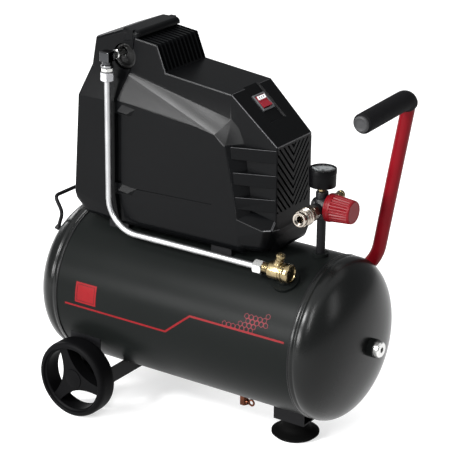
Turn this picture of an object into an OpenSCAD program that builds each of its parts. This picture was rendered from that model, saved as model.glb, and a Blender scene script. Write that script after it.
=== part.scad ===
// Portable oil-free air compressor: a horizontal air tank on two wheels and a rubber foot,
// with a covered motor pump on top. +X is the end with the tank plug, -Y is the outlet side.

/* [Air tank] */
// Outside diameter of the rolled tank shell
tank_d = 248; // [244:1:250]
// Length of the tank over both dished heads
tank_l = 558; // [550:1:566]
// Depth of each dished head
head_depth = 54.5; // [50:0.5:58]
// Sheet thickness of the tank
tank_wall = 2.5; // [2:0.5:3]
// Height of the tank axis above the floor
axis_h = 179; // [175:0.5:181]

/* [Wheels and foot] */
// Outside diameter of each wheel
wheel_d = 124; // [112:1:126]
// Width of each wheel
wheel_w = 36; // [30:1:36]
// Distance between the outer faces of the two wheels
track_out = 306; // [306:1:312]
// Diameter of the rubber foot
foot_d = 74; // [60:1:80]

/* [Pump] */
// Bore of the pump cylinder
bore_d = 60; // [56:1:61]
// Stroke of the piston
stroke = 18; // [14:1:18]
// Height of the motor shaft above the tank axis
shaft_z = 228; // [226:1:229]
// Outside diameter of the motor stator
stator_d = 112; // [108:1:114]

/* [Cover] */
// Wall thickness of the moulded covers
cover_wall = 2.6; // [2:0.1:3]
// Radius of the cover edges
cover_round = 6; // [5:0.5:7]
// Width of the covers over the side panels
cover_w = 136; // [134:1:138]

/* [Pipes and handle] */
// Outside diameter of the delivery tube
tube_d = 10; // [8:1:10]
// Outside diameter of the handle tube
handle_d = 21; // [19:1:22]
// Outside diameter of the foam grip
grip_d = 30; // [28:1:32]
// Lean of the handle from the vertical
handle_lean = 9.6; // [8:0.2:11]

/* [Hidden] */
$fn = 64;
tank_r = tank_d / 2;
head_r = tank_r + 1;
straight = tank_l / 2 - head_depth;
seam_x = straight - 10.5;
plug_out = 18;
tank_cx = -plug_out / 2;
foot_x = 152.5;
wheel_x = -165;
wheel_r = wheel_d / 2;
wheel_z = wheel_r - axis_h;
wheel_out = track_out / 2;
wheel_in = wheel_out - wheel_w;
axle_r = 6;
leg_y = wheel_in - 6;
run_gap = 0.05;
rim_r = 49.5;
hub_r = 19;
cylinder_x = -133;
throw = stroke / 2;
shaft_r = 8.5;
pin_r = 10;
rod_l = 90;
pin_z = shaft_z + throw;
eye_z = pin_z + rod_l;
deck_z = 298;
piston_top = 360.5;
head_z = piston_top + 1;
port_z = 390;
tube_x = -140;
grommet_x = -128;
grommet_z = 386;
tube_y = -80;
tube_z = 119;
tube_bend = 50;
reg_x = 188;
reg_z = 202;
cv_x = 172;
cv_lean = 33.6;
valve_z = tube_z + 1.5;
bleed_x = 167;
drain_x = 58;
drain_z = -150;
hook_y = 57;
mount_xs = [-140, 50];

// Lifts the tank's own frame, with its origin at the tank's centre, to the row frame.
module about_tank() translate([tank_cx, 0, axis_h]) children();
// Turns a part drawn along +Z to lie along +X or -Y.
module along_x(x = 0) translate([x, 0, 0]) rotate([0, 90, 0]) children();
module along_front(y = 0) translate([0, y, 0]) rotate([90, 0, 0]) children();
// Stands a part drawn along +Z radially on the tank, leaning towards -Y.
module on_tank(x, lean) translate([x, 0, 0]) rotate([lean, 0, 0]) children();
module ring(h, r, bore) difference() {
    cylinder(h = h, r = r);
    translate([0, 0, -1]) cylinder(h = h + 2, r = bore);
}
module hex(h, flats) cylinder(h = h, r = flats / sqrt(3), $fn = 6);
// Round bar from one point to another, with ball ends.
module bar(p, q, r) {
    d = q - p;
    l = norm(d);
    translate(p) rotate([0, acos(d.z / l), atan2(d.y, d.x)]) cylinder(h = l, r = r);
    for (e = [p, q]) translate(e) sphere(r = 1.02 * r);
}
// Plain cylinder that stands for the space the tank takes.
module tank_space(r = tank_r + 0.03) along_x(-tank_l / 2) cylinder(h = tank_l, r = r, $fn = 128);

// ---- Air tank ----
module tank_shell() about_tank() color("#1b1c1d") difference() {
    union() {
        along_x(-seam_x) cylinder(h = 2 * seam_x, r = tank_r);
        along_x(-seam_x - 9.5) cylinder(h = 2 * seam_x + 19, r = tank_r - 1.6);
    }
    along_x(-seam_x + 4) cylinder(h = 2 * seam_x - 8, r = tank_r - tank_wall);
    along_x(-seam_x - 13) cylinder(h = 2 * seam_x + 26, r = tank_r - 1.6 - tank_wall);
    translate([reg_x, 0, 0]) cylinder(h = tank_d, r = 7);
    on_tank(cv_x, cv_lean) cylinder(h = tank_d, r = 8);
    translate([drain_x, 0, -tank_d]) cylinder(h = tank_d, r = 6);
}
// Dished head: a straight skirt and a half ellipse, revolved about the tank axis.
module dish(r, depth) {
    steps = 20;
    curve = [for (i = [0:steps]) [r * cos(90 * i / steps), straight + depth * sin(90 * i / steps)]];
    rotate_extrude($fn = 128) polygon(concat([[0, seam_x]], [[r, seam_x]], curve));
}
module tank_head(bore) difference() {
    dish(head_r, head_depth);
    translate([0, 0, -0.01]) dish(head_r - tank_wall, head_depth - tank_wall);
    translate([0, 0, -1]) cylinder(h = seam_x + 1.5, r = head_r + 5);
    if (bore) cylinder(h = tank_l, r = 14.1);
}
module tank_head_left() about_tank() color("#1b1c1d") rotate([0, -90, 0]) tank_head(false);
module tank_head_right() about_tank() color("#1b1c1d") rotate([0, 90, 0]) tank_head(true);
module weld_bosses() about_tank() color("#161718") {
    difference() {
        translate([reg_x, 0, tank_r - 6]) cylinder(h = 11, r = 12);
        translate([reg_x, 0, 0]) cylinder(h = tank_d, r = 6.8);
        tank_space();
    }
    difference() {
        on_tank(cv_x, cv_lean) union() {
            translate([0, 0, tank_r - 6]) cylinder(h = 10, r = 21);
            translate([0, 0, tank_r - 6]) cylinder(h = 15, r = 13);
        }
        on_tank(cv_x, cv_lean) cylinder(h = tank_d, r = 8.1);
        translate([0, tube_y, valve_z]) along_x(110) cylinder(h = 68, r = 13.1);
        translate([0, tube_y, valve_z]) along_x(177) cylinder(h = 14, r = 14.6);
        tank_space();
    }
    difference() {
        translate([drain_x, 0, -tank_r - 8]) cylinder(h = 13, r = 11);
        translate([drain_x, 0, -tank_d]) cylinder(h = tank_d, r = 6.1);
        tank_space();
    }
    along_x(tank_l / 2 - 8) ring(17, 14, 10.1);
}
module end_plug() about_tank() color("#c9cccf") along_x(tank_l / 2) difference() {
    union() {
        translate([0, 0, -6]) cylinder(h = 15.1, r = 10);
        translate([0, 0, 9]) cylinder(h = 7, r = 12);
        translate([0, 0, 16]) cylinder(h = 2, r1 = 12, r2 = 10.5);
    }
    translate([0, 0, 12]) hex(7, 8);
}

// ---- Foot and wheels ----
web_z = -151.5;
module foot_bracket() about_tank() color("#17181a") difference() {
    translate([foot_x - 27, -21, web_z]) cube([54, 42, 45]);
    translate([foot_x - 28, -18.5, web_z + 2.5]) cube([56, 37, 45]);
    translate([foot_x, 0, web_z - 1]) cylinder(h = 5, r = 4.1);
    tank_space();
}
module rubber_foot() about_tank() color("#141414") translate([foot_x, 0, -axis_h])
    rotate_extrude() polygon([[4.1, 12], [4.1, axis_h + web_z], [21, axis_h + web_z],
        [21, 18], [25, 12], [foot_d / 2, 7], [foot_d / 2, 4.5], [foot_d / 2 - 5, 0], [0, 0], [0, 12]]);
module foot_bolt() about_tank() color("#b9bcc0") translate([foot_x, 0, web_z]) {
    translate([0, 0, -10]) cylinder(h = 12.5, r = 4);
    translate([0, 0, 2.5]) hex(5.5, 13);
}
module wheel_bracket() about_tank() color("#17181a") difference() {
    union() {
        translate([wheel_x - 46, -leg_y, -127.5]) cube([92, 2 * leg_y, 2.5]);
        for (s = [-1, 1]) {
            translate([wheel_x + s * 44.75 - 1.25, -leg_y, -127.5]) cube([2.5, 2 * leg_y, 27]);
            translate([wheel_x - 31, s * (leg_y - 1.25) - 1.25, -127.5]) cube([58, 2.5, 80]);
        }
    }
    translate([wheel_x - 38, 2.5 - leg_y, -130]) cube([76, 2 * leg_y - 5, 20]);
    for (s = [-1, 1]) translate([wheel_x, s * (leg_y - 1.25), wheel_z])
        rotate([90, 0, 0]) cylinder(h = 6, r = axle_r, center = true);
    tank_space();
}
module axle_bolts() about_tank() color("#a9adb2") for (s = [0, 1]) mirror([0, s, 0])
    translate([wheel_x, 0, wheel_z]) {
        along_front(-leg_y) cylinder(h = wheel_out - 7.5 - leg_y, r = axle_r);
        along_front(-leg_y + 2.5) cylinder(h = 2.5, r = axle_r - 0.05);
        along_front(-leg_y + 8.5) hex(6, 17);
        along_front(-wheel_out + 7.7) cylinder(h = 2.3, r = 9);
    }
// One wheel, drawn with its axis along +Z and its outer face up at wheel_w.
module wheel_body() difference() {
    union() {
        rotate_extrude($fn = 96) polygon(concat(
            [[rim_r, 2], [rim_r, wheel_w - 4], [rim_r + 2, wheel_w - 0.5]],
            [for (a = [90:-15:0]) [wheel_r - 9 + 9 * cos(a), wheel_w - 9 + 9 * sin(a)]],
            [for (a = [0:-15:-90]) [wheel_r - 9 + 9 * cos(a), 9 + 9 * sin(a)]],
            [[rim_r + 2, 0]]));
        translate([0, 0, 2]) cylinder(h = wheel_w - 7, r = hub_r);
        for (a = [0, 120, 240]) rotate(a) translate([0, 0, 8]) linear_extrude(height = wheel_w - 15)
            polygon([[-16, 0], [-13, 13], [-9, 27], [-8, rim_r + 3], [8, rim_r + 3], [9, 27],
                [13, 13], [16, 0]]);
    }
    translate([0, 0, -1]) cylinder(h = wheel_w, r = axle_r + run_gap);
    translate([0, 0, wheel_w - 8]) cylinder(h = 9, r = 12);
}
module wheel_at(side) about_tank() color("#1d1d1e") translate([wheel_x, side * wheel_in, wheel_z])
    rotate([side * -90, 0, 0]) rotate(side > 0 ? 157.4 : 22.6) children();
module wheel_front() wheel_at(-1) wheel_body();
module wheel_back() wheel_at(1) wheel_body();
module hub_cap() translate([0, 0, wheel_w - 5]) {
    cylinder(h = 1.6, r = 16);
    translate([0, 0, -2.6]) ring(2.6, 11.9, 10);
}
module hub_cap_front() wheel_at(-1) hub_cap();
module hub_cap_back() wheel_at(1) hub_cap();

// ---- Handle and cable hook ----
grip_x = 269.5;
grip_z = 354.5;
grip_reach = 114;
grip_dip = 2.5;
handle_y = 103;
handle_bend = 22;
leg_l = 240;
foot_bend = 70;
// The handle's own frame: its leg hangs down the -Z axis from the top bend, the grip runs to -Y.
module handle_place() about_tank() translate([grip_x, handle_y, grip_z])
    rotate([0, handle_lean, 0]) children();
// Start of the straight grip, with +Z along it; the free end dips a little.
module grip_start() translate([0, -handle_bend, -handle_bend]) rotate([grip_dip, 0, 0])
    translate([0, 0, handle_bend]) along_front() children();
module pipe_bend(radius, r, bore, start, turn) rotate_extrude(angle = turn, start = start)
    translate([radius, 0]) difference() {
        circle(r = r);
        circle(r = bore);
    }
module handle_path(r, bore, turn) {
    translate([0, -handle_bend, -handle_bend]) rotate([90, 0, 90])
        pipe_bend(handle_bend, r, bore, 90 + grip_dip - turn, turn);
    grip_start() ring(grip_reach, r, bore);
}
module handle_tube() color("#8e1a1f") difference() {
    handle_place() {
        handle_path(handle_d / 2, handle_d / 2 - 1.5, 90 + grip_dip);
        translate([0, 0, -leg_l]) ring(leg_l - handle_bend, handle_d / 2, handle_d / 2 - 1.5);
        translate([-foot_bend, 0, -leg_l]) rotate([90, 0, 0])
            pipe_bend(foot_bend, handle_d / 2, handle_d / 2 - 1.5, -30, 30);
        translate([-foot_bend, 0, -leg_l]) rotate([0, 30, 0]) translate([foot_bend, 0, -60])
            ring(60, handle_d / 2, handle_d / 2 - 1.5);
    }
    about_tank() tank_space(tank_r + 0.05);
    about_tank() along_x(seam_x - 0.05) cylinder(h = 20, r = head_r + 0.05, $fn = 128);
}
module handle_grip() color("#151515") handle_place() {
    handle_path(grip_d / 2, handle_d / 2 + 0.05, 60);
    grip_start() translate([0, 0, grip_reach]) cylinder(h = 5, r = grip_d / 2);
}
module cable_hook() about_tank() color("#141516") {
    for (s = [-1, 1]) {
        bar([-261, s * hook_y, 82], [-250.5, s * hook_y, 113], 3);
        bar([-250.5, s * hook_y, 113], [-265, s * hook_y, 138], 3);
    }
    bar([-265, -hook_y, 138], [-265, hook_y, 138], 3);
}

// ---- Pump supports ----
module pump_saddles() about_tank() color("#17181a") difference() {
    for (x = mount_xs) translate([x - 18, -56, 98]) cube([36, 112, 37]);
    for (x = mount_xs) translate([x - 19, -53, 97]) cube([38, 106, 35]);
    for (x = mount_xs, y = [-40, 40]) translate([x, y, 120]) cylinder(h = 20, r = 3.1);
    tank_space();
}
module vibration_mounts() about_tank() color("#111111")
    for (x = mount_xs, y = [-40, 40]) translate([x, y, 135]) {
        cylinder(h = 4, r = 13);
        translate([0, 0, 4]) cylinder(h = 7, r = 10);
        translate([0, 0, 11]) cylinder(h = 4, r = 13);
    }
module pump_base() about_tank() color("#3a3c3e") difference() {
    union() {
        translate([-172, -54, 150]) cube([246, 108, 3]);
        translate([70, -38, 150]) cube([62, 76, 3]);
    }
    for (x = mount_xs, y = [-40, 40]) translate([x, y, 145]) cylinder(h = 20, r = 3.1);
}

// ---- Motor and pump ----
stator_x = [-75, 5];
module motor_stator() about_tank() color("#8d9297") translate([0, 0, shaft_z]) difference() {
    along_x(stator_x[0]) cylinder(h = stator_x[1] - stator_x[0], r = stator_d / 2);
    along_x(stator_x[0] - 1) cylinder(h = stator_x[1] - stator_x[0] + 2, r = 32);
}
module motor_windings() about_tank() color("#b06a2c") translate([0, 0, shaft_z]) {
    along_x(stator_x[0] - 18) ring(18, 50, 35);
    along_x(stator_x[1]) ring(18, 50, 35);
}
module motor_end_shield() about_tank() color("#a3a7aa") difference() {
    union() {
        translate([0, 0, shaft_z]) along_x(stator_x[1]) cylinder(h = 37, r = stator_d / 2);
        translate([26, -38, 153]) cube([16, 76, 40]);
    }
    translate([0, 0, shaft_z]) along_x(stator_x[1] - 1) cylinder(h = 30, r = stator_d / 2 - 4);
    translate([0, 0, shaft_z]) along_x(0) cylinder(h = 60, r = 17.5);
    for (a = [0:60:300]) translate([0, 0, shaft_z]) rotate([a, 0, 0]) translate([30, 0, 34])
        rotate([0, 90, 0]) cylinder(h = 20, r = 8);
}
module crankcase() about_tank() color("#a3a7aa") difference() {
    union() {
        translate([-170, -44, 184]) cube([72, 88, deck_z - 184]);
        translate([0, 0, shaft_z]) along_x(-106) cylinder(h = stator_x[0] + 106, r = stator_d / 2);
        for (y = [-44, 30]) translate([-165, y, 153]) cube([55, 14, 32]);
    }
    translate([0, 0, shaft_z]) along_x(-171) cylinder(h = 59, r = 36);
    translate([0, 0, shaft_z]) along_x(-98) cylinder(h = 24, r = stator_d / 2 - 4);
    translate([0, 0, shaft_z]) along_x(-120) cylinder(h = 40, r = 17.5);
    translate([cylinder_x, 0, shaft_z]) cylinder(h = 80, r = bore_d / 2);
    for (x = [-30.5, 30.5], y = [-30.5, 30.5])
        translate([cylinder_x + x, y, deck_z - 14]) cylinder(h = 20, r = 3.05);
}
module shaft_bearings() about_tank() color("#c4c7ca") translate([0, 0, shaft_z]) {
    along_x(-111) ring(12, 17.45, shaft_r + run_gap);
    along_x(35) ring(7, 17.45, shaft_r + run_gap);
}
module motor_rotor() about_tank() color("#9a9fa4") translate([0, 0, shaft_z]) {
    along_x(stator_x[0]) cylinder(h = stator_x[1] - stator_x[0], r = 31.5);
    along_x(-123) cylinder(h = 216, r = shaft_r);
}
module crank_web() about_tank() color("#6f7478") {
    translate([0, 0, shaft_z]) difference() {
        along_x(-124) cylinder(h = 11, r = 30);
        along_x(-123) cylinder(h = 12, r = shaft_r + 0.02);
        translate([-125, -31, 20]) cube([13, 62, 12]);
    }
    translate([0, 0, pin_z]) along_x(-141.5) cylinder(h = 17.6, r = pin_r);
}
module cooling_fan() about_tank() color("#202224") translate([0, 0, shaft_z]) along_x(76) difference() {
    union() {
        cylinder(h = 16, r = 15);
        cylinder(h = 2, r = 50);
        for (a = [0:36:324]) rotate(a) translate([-1, 14, 0]) cube([2, 36, 15]);
    }
    translate([0, 0, -1]) cylinder(h = 20, r = shaft_r + 0.02);
}
module connecting_rod() about_tank() color("#b9bec2") translate([-140.5, 0, 0]) difference() {
    union() {
        translate([0, 0, pin_z]) along_x() cylinder(h = 15, r = 17);
        translate([0, 0, eye_z]) along_x() cylinder(h = 15, r = 9);
        translate([2.5, -6, pin_z + 13]) cube([10, 12, rod_l - 18]);
        translate([0, 0, eye_z]) along_x(-9) cylinder(h = 33, r = 5);
    }
    translate([0, 0, pin_z]) along_x(-1) cylinder(h = 17, r = pin_r + run_gap);
}
module piston() about_tank() color("#c8cacc") translate([cylinder_x, 0, 0]) difference() {
    translate([0, 0, piston_top - 40]) cylinder(h = 40, r = bore_d / 2 - run_gap);
    translate([0, 0, piston_top - 41]) cylinder(h = 36, r = bore_d / 2 - 4);
    for (z = [7, 13]) translate([0, 0, piston_top - z]) ring(2, bore_d / 2 + 1, bore_d / 2 - 1.2);
}
module head_screw_holes(r) for (x = [-30.5, 30.5], y = [-30.5, 30.5])
    translate([cylinder_x + x, y, deck_z - 1]) cylinder(h = 120, r = r);
module cylinder_barrel() about_tank() color("#aeb2b5") difference() {
    union() {
        translate([cylinder_x, 0, deck_z]) cylinder(h = head_z - deck_z, r = bore_d / 2 + 5);
        for (i = [0:5]) translate([cylinder_x - 40, -40, deck_z + i * 12.1]) cube([80, 80, 3]);
    }
    translate([cylinder_x, 0, deck_z - 1]) cylinder(h = 80, r = bore_d / 2);
    head_screw_holes(3.05);
}
module valve_plate() about_tank() color("#7d8286") difference() {
    translate([cylinder_x - 40, -40, head_z]) cube([80, 80, 5]);
    for (y = [-14, 14]) translate([cylinder_x, y, head_z - 1]) cylinder(h = 7, r = 5);
    head_screw_holes(3.05);
}
module cylinder_head() about_tank() color("#aeb2b5") difference() {
    translate([cylinder_x - 40, -40, head_z + 5]) cube([80, 80, 36]);
    for (y = [-26, 4]) translate([cylinder_x - 24, y, head_z + 4]) cube([48, 22, 14]);
    for (i = [0:5]) translate([cylinder_x - 41, -31 + i * 11, head_z + 34]) cube([82, 6, 8]);
    translate([-137, -14, port_z]) along_front(-2) cylinder(h = 40, r = 7.05);
    translate([-137, -20, head_z + 10]) cylinder(h = 18, r = 4);
    translate([-110, 15, 388]) along_x() cylinder(h = 40, r = 6);
    head_screw_holes(3.05);
}
module head_bolts() about_tank() color("#b9bcc0") for (x = [-30.5, 30.5], y = [-30.5, 30.5])
    translate([cylinder_x + x, y, deck_z - 12]) {
        cylinder(h = head_z + 41 - deck_z + 12, r = 3);
        translate([0, 0, head_z + 41 - deck_z + 12]) hex(5, 10);
    }
module intake_filter() about_tank() color("#2b2d2f") translate([0, 15, 388]) {
    along_x(-103) cylinder(h = 11, r = 5.9);
    along_x(-92.9) cylinder(h = 21, r = 14);
}
module run_capacitor() about_tank() color("#d8d8d4") translate([0, 0, shaft_z + stator_d / 2 + 17.1]) {
    along_x(-62) cylinder(h = 58, r = 17);
    for (y = [-6, 6]) translate([0, y, 0]) along_x(-4) cylinder(h = 6, r = 2.5);
}
module pressure_switch() about_tank() color("#2a2b2d") {
    translate([100, -22, 153]) cube([30, 44, 52]);
    translate([115, 0, 205]) cylinder(h = 10, r = 9);
}

// ---- Covers ----
side_y = cover_w / 2 - cover_round;
cover_foot_z = 135;
switch_x = -22;
// Corner centres of each rounded block as [x, half width, z].
front_main = [[-145, side_y, 138], [89, side_y, 138], [-145, side_y, 317], [87, side_y, 290],
    [-120, 49, 363], [-62, 49, 367], [56, 46, 354]];
front_end = [[40, 46, 138], [134, 45, 138], [134, 44, 176], [132, 42, 287], [56, 46, 354], [40, 46, 348]];
front_skirt = [[60, side_y, 138], [136, side_y - 1, 138], [60, side_y, 152], [136, side_y - 6, 152],
    [60, 45, 170], [136, 44, 170]];
tower = [[-120, 49, 414], [-76, 49, 406], [-61, 49, 366], [-120, 49, 350], [-61, 49, 350]];
rear_main = [[-190, side_y, 138], [-100, side_y, 138], [-190, side_y, 300], [-100, side_y, 317],
    [-214, 50, 138], [-220, 51, 158], [-209, 49, 318], [-184, 49, 361], [-100, 49, 363]];
rear_top = [[-183, 49, 360], [-176, 49, 406], [-132, 49, 423.5], [-100, 49, 422.5], [-100, 49, 350]];
// Meeting line of the two covers, seen along Y.
seam = [[-109, 440], [-109, 419], [-117, 368], [-134, 317], [-138, 185], [-128, 123], [-128, 100]];
module rounded_block(corners, r) hull() for (c = corners, s = [-1, 1])
    translate([c.x, s * c.y, c.z]) sphere(r = r, $fn = 24);
module seam_side(edge, gap) rotate([90, 0, 0]) linear_extrude(height = 200, center = true)
    polygon(concat([for (p = seam) [p.x + gap, p.y]], [[edge, 100], [edge, 440]]));
module grommet_hole(r) translate([grommet_x, 0, grommet_z]) along_front(-30) cylinder(h = 60, r = r);
module cover_base_cut() translate([-250, -100, 100]) cube([450, 200, cover_foot_z - 100]);
// Panel frame of the sloping switch face: origin at its middle, +Z out of the face.
module on_slope() translate([100.5, 0, 326.3]) rotate([0, 41.6, 0]) children();
module cover_front() about_tank() color("#26282a") difference() {
    union() {
        rounded_block(front_main, cover_round);
        rounded_block(front_end, cover_round);
        rounded_block(front_skirt, cover_round);
        rounded_block(tower, cover_round);
    }
    rounded_block(front_main, cover_round - cover_wall);
    rounded_block(front_end, cover_round - cover_wall);
    rounded_block(front_skirt, cover_round - cover_wall);
    rounded_block(tower, cover_round - cover_wall);
    seam_side(-300, 0.3);
    cover_base_cut();
    grommet_hole(20.1);
    on_slope() translate([-35.3, -13.3, -10]) cube([26.6, 26.6, 20]);
    for (i = [-5:5]) translate([-108, i * 8.4 - 1.8, 372]) cube([60, 3.6, 26]);
    for (i = [0:9], s = [-1, 1]) translate([140, 0, 176 + i * 11]) rotate([s * 45, 0, 0])
        translate([-6, s > 0 ? -2 : -36, -2]) cube([20, 38, 4]);
}
module cover_rear() about_tank() color("#26282a") difference() {
    union() {
        rounded_block(rear_main, cover_round);
        rounded_block(rear_top, cover_round);
    }
    rounded_block(rear_main, cover_round - cover_wall);
    rounded_block(rear_top, cover_round - cover_wall);
    seam_side(0, -0.3);
    cover_base_cut();
    grommet_hole(20.1);
    for (i = [0:7], s = [-1, 1]) translate([-228, s * 6 - (s < 0 ? 28 : 0), 190 + i * 12])
        cube([26, 28, 5]);
}
module tube_grommet() about_tank() color("#101010") translate([grommet_x, 0, grommet_z]) difference() {
    union() {
        along_front(-50.5) cylinder(h = 4.7, r = 20);
        along_front(-46.5) cylinder(h = 4.1, r = 18);
    }
    translate([-9, 0, 4]) along_front(-40) cylinder(h = 20, r = 8);
    along_front(-52) cylinder(h = 6, r = 14);
}
module switch_frame() about_tank() color("#8f9295") on_slope() difference() {
    union() {
        translate([-37, -15, 0.3]) cube([30, 30, 2.2]);
        translate([-35, -13, -22]) cube([26, 26, 22.4]);
    }
    translate([-33, -11, -12]) cube([22, 22, 20]);
}
module switch_rocker() about_tank() color("#c22026") on_slope() translate([switch_x, 0, -1]) {
    translate([0, 10.8, 0]) along_front() cylinder(h = 21.6, r = 3);
    translate([-9.6, -10.6, 0]) rotate([0, -7, 0]) cube([9.9, 21.2, 3.6]);
    translate([-0.3, -10.6, 0]) rotate([0, 7, 0]) cube([10.2, 21.2, 3.6]);
}

// ---- Delivery line ----
module outlet_elbow() about_tank() color("#3c3e42") translate([0, 0, port_z]) difference() {
    union() {
        translate([tube_x - 8.5, tube_y - 8.5, -8]) cube([17, 17, 16]);
        translate([grommet_x - 9, 0, 0]) along_front(-36) cylinder(h = 36, r = 6);
        translate([tube_x, tube_y, -24]) cylinder(h = 17, r = 7.5);
        translate([tube_x, tube_y, -16]) cylinder(h = 4, r = 9.5);
    }
    translate([grommet_x - 9, 0, 0]) along_front(-35) cylinder(h = 43, r = 3.2);
    translate([tube_x, tube_y, -25]) cylinder(h = 25, r = 3.2);
    translate([tube_x, tube_y, -25]) cylinder(h = 6, r = tube_d / 2 + 0.05);
}
module tube_nuts() about_tank() color("#d5d7d9") {
    translate([tube_x, tube_y, port_z - 37]) difference() {
        hex(13, 19);
        translate([0, 0, -1]) cylinder(h = 20, r = tube_d / 2 + 0.05);
    }
    translate([0, tube_y, tube_z]) along_x(126) difference() {
        hex(15, 19);
        translate([0, 0, -1]) cylinder(h = 20, r = tube_d / 2 + 0.05);
    }
}
module delivery_tube() about_tank() color("#dcdee0") {
    translate([tube_x, tube_y, tube_z + tube_bend])
        ring(port_z - 19.5 - tube_z - tube_bend, tube_d / 2, tube_d / 2 - 1);
    translate([tube_x + tube_bend, tube_y, tube_z + tube_bend]) rotate([90, 0, 0])
        rotate_extrude(angle = 90, start = 180) translate([tube_bend, 0]) difference() {
            circle(r = tube_d / 2);
            circle(r = tube_d / 2 - 1);
        }
    translate([0, tube_y, tube_z]) along_x(tube_x + tube_bend)
        ring(145 - tube_x - tube_bend, tube_d / 2, tube_d / 2 - 1);
}
module check_valve() about_tank() color("#c9a25a") difference() {
    union() {
        translate([0, tube_y, tube_z]) along_x(141) cylinder(h = 12, r = 8);
        translate([0, tube_y, valve_z]) along_x(151) cylinder(h = 24, r = 13);
        translate([0, tube_y, valve_z]) along_x(175) cylinder(h = 3, r = 11.5);
        translate([0, tube_y, valve_z]) along_x(178) hex(12, 25);
        on_tank(cv_x, cv_lean) translate([0, 0, tank_r + 9.1]) cylinder(h = 12, r = 10);
        on_tank(cv_x, cv_lean) translate([0, 0, 120]) cylinder(h = 24, r = 8);
    }
    translate([0, tube_y, tube_z]) along_x(140) cylinder(h = 6, r = tube_d / 2 + 0.05);
    translate([0, tube_y, tube_z]) along_x(140) cylinder(h = 40, r = 4);
    on_tank(cv_x, cv_lean) translate([0, 0, 119]) cylinder(h = 26, r = 4);
    translate([bleed_x, tube_y, valve_z + 7]) cylinder(h = 12, r = 4.05);
}
module bleed_fitting() about_tank() color("#c99a6a")
    translate([bleed_x, tube_y, valve_z + 8]) difference() {
        union() {
            cylinder(h = 9, r = 4);
            translate([0, 0, 5]) cylinder(h = 13, r = 5.5);
            translate([0, 0, 18]) hex(5, 12);
        }
        translate([0, 0, -1]) cylinder(h = 26, r = 1.5);
    }

// ---- Regulator, gauge and outlets ----
module stand_pipe() about_tank() color("#151617") translate([reg_x, 0, 118]) ring(72, 6.75, 4.5);
module regulator_body() about_tank() color("#1d1f20") translate([reg_x, 0, 0]) difference() {
    union() {
        translate([0, 0, 184]) cylinder(h = 30, r = 11.5);
        translate([0, 0, 213]) hex(11, 17);
        translate([0, 0, reg_z - 4]) along_front() cylinder(h = 20, r = 11);
        translate([0, 24, reg_z]) along_front() cylinder(h = 24, r = 9.5);
        translate([0, 0, reg_z]) along_x() cylinder(h = 12, r = 14);
        translate([0, 0, reg_z]) along_x(11) cylinder(h = 12, r = 10);
    }
    translate([0, 0, 183]) cylinder(h = 8, r = 6.8);
    translate([0, 0, 183]) cylinder(h = 42, r = 4);
    translate([0, 0, 218]) cylinder(h = 8, r = 5.05);
    translate([0, 0, reg_z - 4]) along_front(-8) cylinder(h = 13, r = 6.6);
    translate([0, 25, reg_z]) along_front() cylinder(h = 12, r = 5.05);
    translate([0, 20, reg_z]) along_front() cylinder(h = 20, r = 3);
}
module gauge_case() about_tank() color("#161718") translate([reg_x, 0, 0]) difference() {
    union() {
        translate([0, 0, 218.5]) cylinder(h = 15, r = 5);
        translate([0, 0, 232]) cylinder(h = 28, r = 20.5);
    }
    translate([0, 0, 236]) cylinder(h = 30, r = 19);
    translate([0, 0, 218]) cylinder(h = 16, r = 2);
}
module gauge_dial() about_tank() color("#e8e8e6") translate([reg_x, 0, 236]) difference() {
    cylinder(h = 18, r = 18.9);
    translate([0, 0, -1]) cylinder(h = 18, r = 17);
    cylinder(h = 20, r = 1.1);
}
module gauge_pointer() about_tank() color("#111111") translate([reg_x, 0, 254]) {
    translate([0, 0, -6]) cylinder(h = 7, r = 1.05);
    translate([0, 0, 0.5]) rotate(225) translate([-0.6, -4, 0]) cube([1.2, 18, 0.7]);
    translate([0, 0, 0.5]) cylinder(h = 1, r = 2.2);
}
module gauge_lens() about_tank() color("#dfe6ea", 0.4)
    translate([reg_x, 0, 257]) cylinder(h = 1.5, r = 18.95);
module coupler_body() about_tank() color("#b8b4ae") translate([reg_x, 0, reg_z - 4]) difference() {
    union() {
        along_front(-9) cylinder(h = 12, r = 6.5);
        along_front(-20.2) hex(12, 20);
        along_front(-32) cylinder(h = 30, r = 9.5);
        along_front(-58) cylinder(h = 5, r = 10.8);
    }
    along_front(-34) cylinder(h = 40, r = 5.5);
    along_front(-8) cylinder(h = 40, r = 3);
}
module coupler_sleeve() about_tank() color("#cfcbc4") translate([reg_x, 0, reg_z - 4]) difference() {
    union() {
        along_front(-39) cylinder(h = 18.6, r = 12.5);
        for (y = [-41, -47, -53]) along_front(y) cylinder(h = 3, r = 13.4);
    }
    along_front(-38) cylinder(h = 21, r = 9.5 + run_gap);
}
module regulator_knob() about_tank() color("#c6222b") translate([reg_x, 0, reg_z]) difference() {
    union() {
        along_x(13) cylinder(h = 6, r = 21.5);
        along_x(19) cylinder(h = 34, r1 = 20.5, r2 = 17.5);
        along_x(53) cylinder(h = 1.5, r1 = 17.5, r2 = 16);
    }
    along_x(12.5) cylinder(h = 30, r = 14);
    along_x(12.5) cylinder(h = 36, r = 4);
}
module safety_valve() about_tank() color("#c9a25a") translate([reg_x, 0, reg_z + 1]) difference() {
    union() {
        translate([0, 27, -1]) along_front() cylinder(h = 12, r = 5);
        translate([0, 34, 0]) along_front() hex(9.9, 14);
        translate([0, 50, 0]) along_front() cylinder(h = 16.1, r = 6);
    }
    translate([0, 51, 0]) along_front() cylinder(h = 14, r = 2.05);
    translate([0, 50, 0]) along_front() cylinder(h = 40, r = 1.2);
}
module relief_cap() about_tank() color("#a8823f") translate([reg_x, 0, reg_z + 1]) {
    translate([0, 51, 0]) along_front() cylinder(h = 13, r = 2);
    translate([0, 56, 0]) along_front() cylinder(h = 5.5, r = 7);
}
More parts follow.
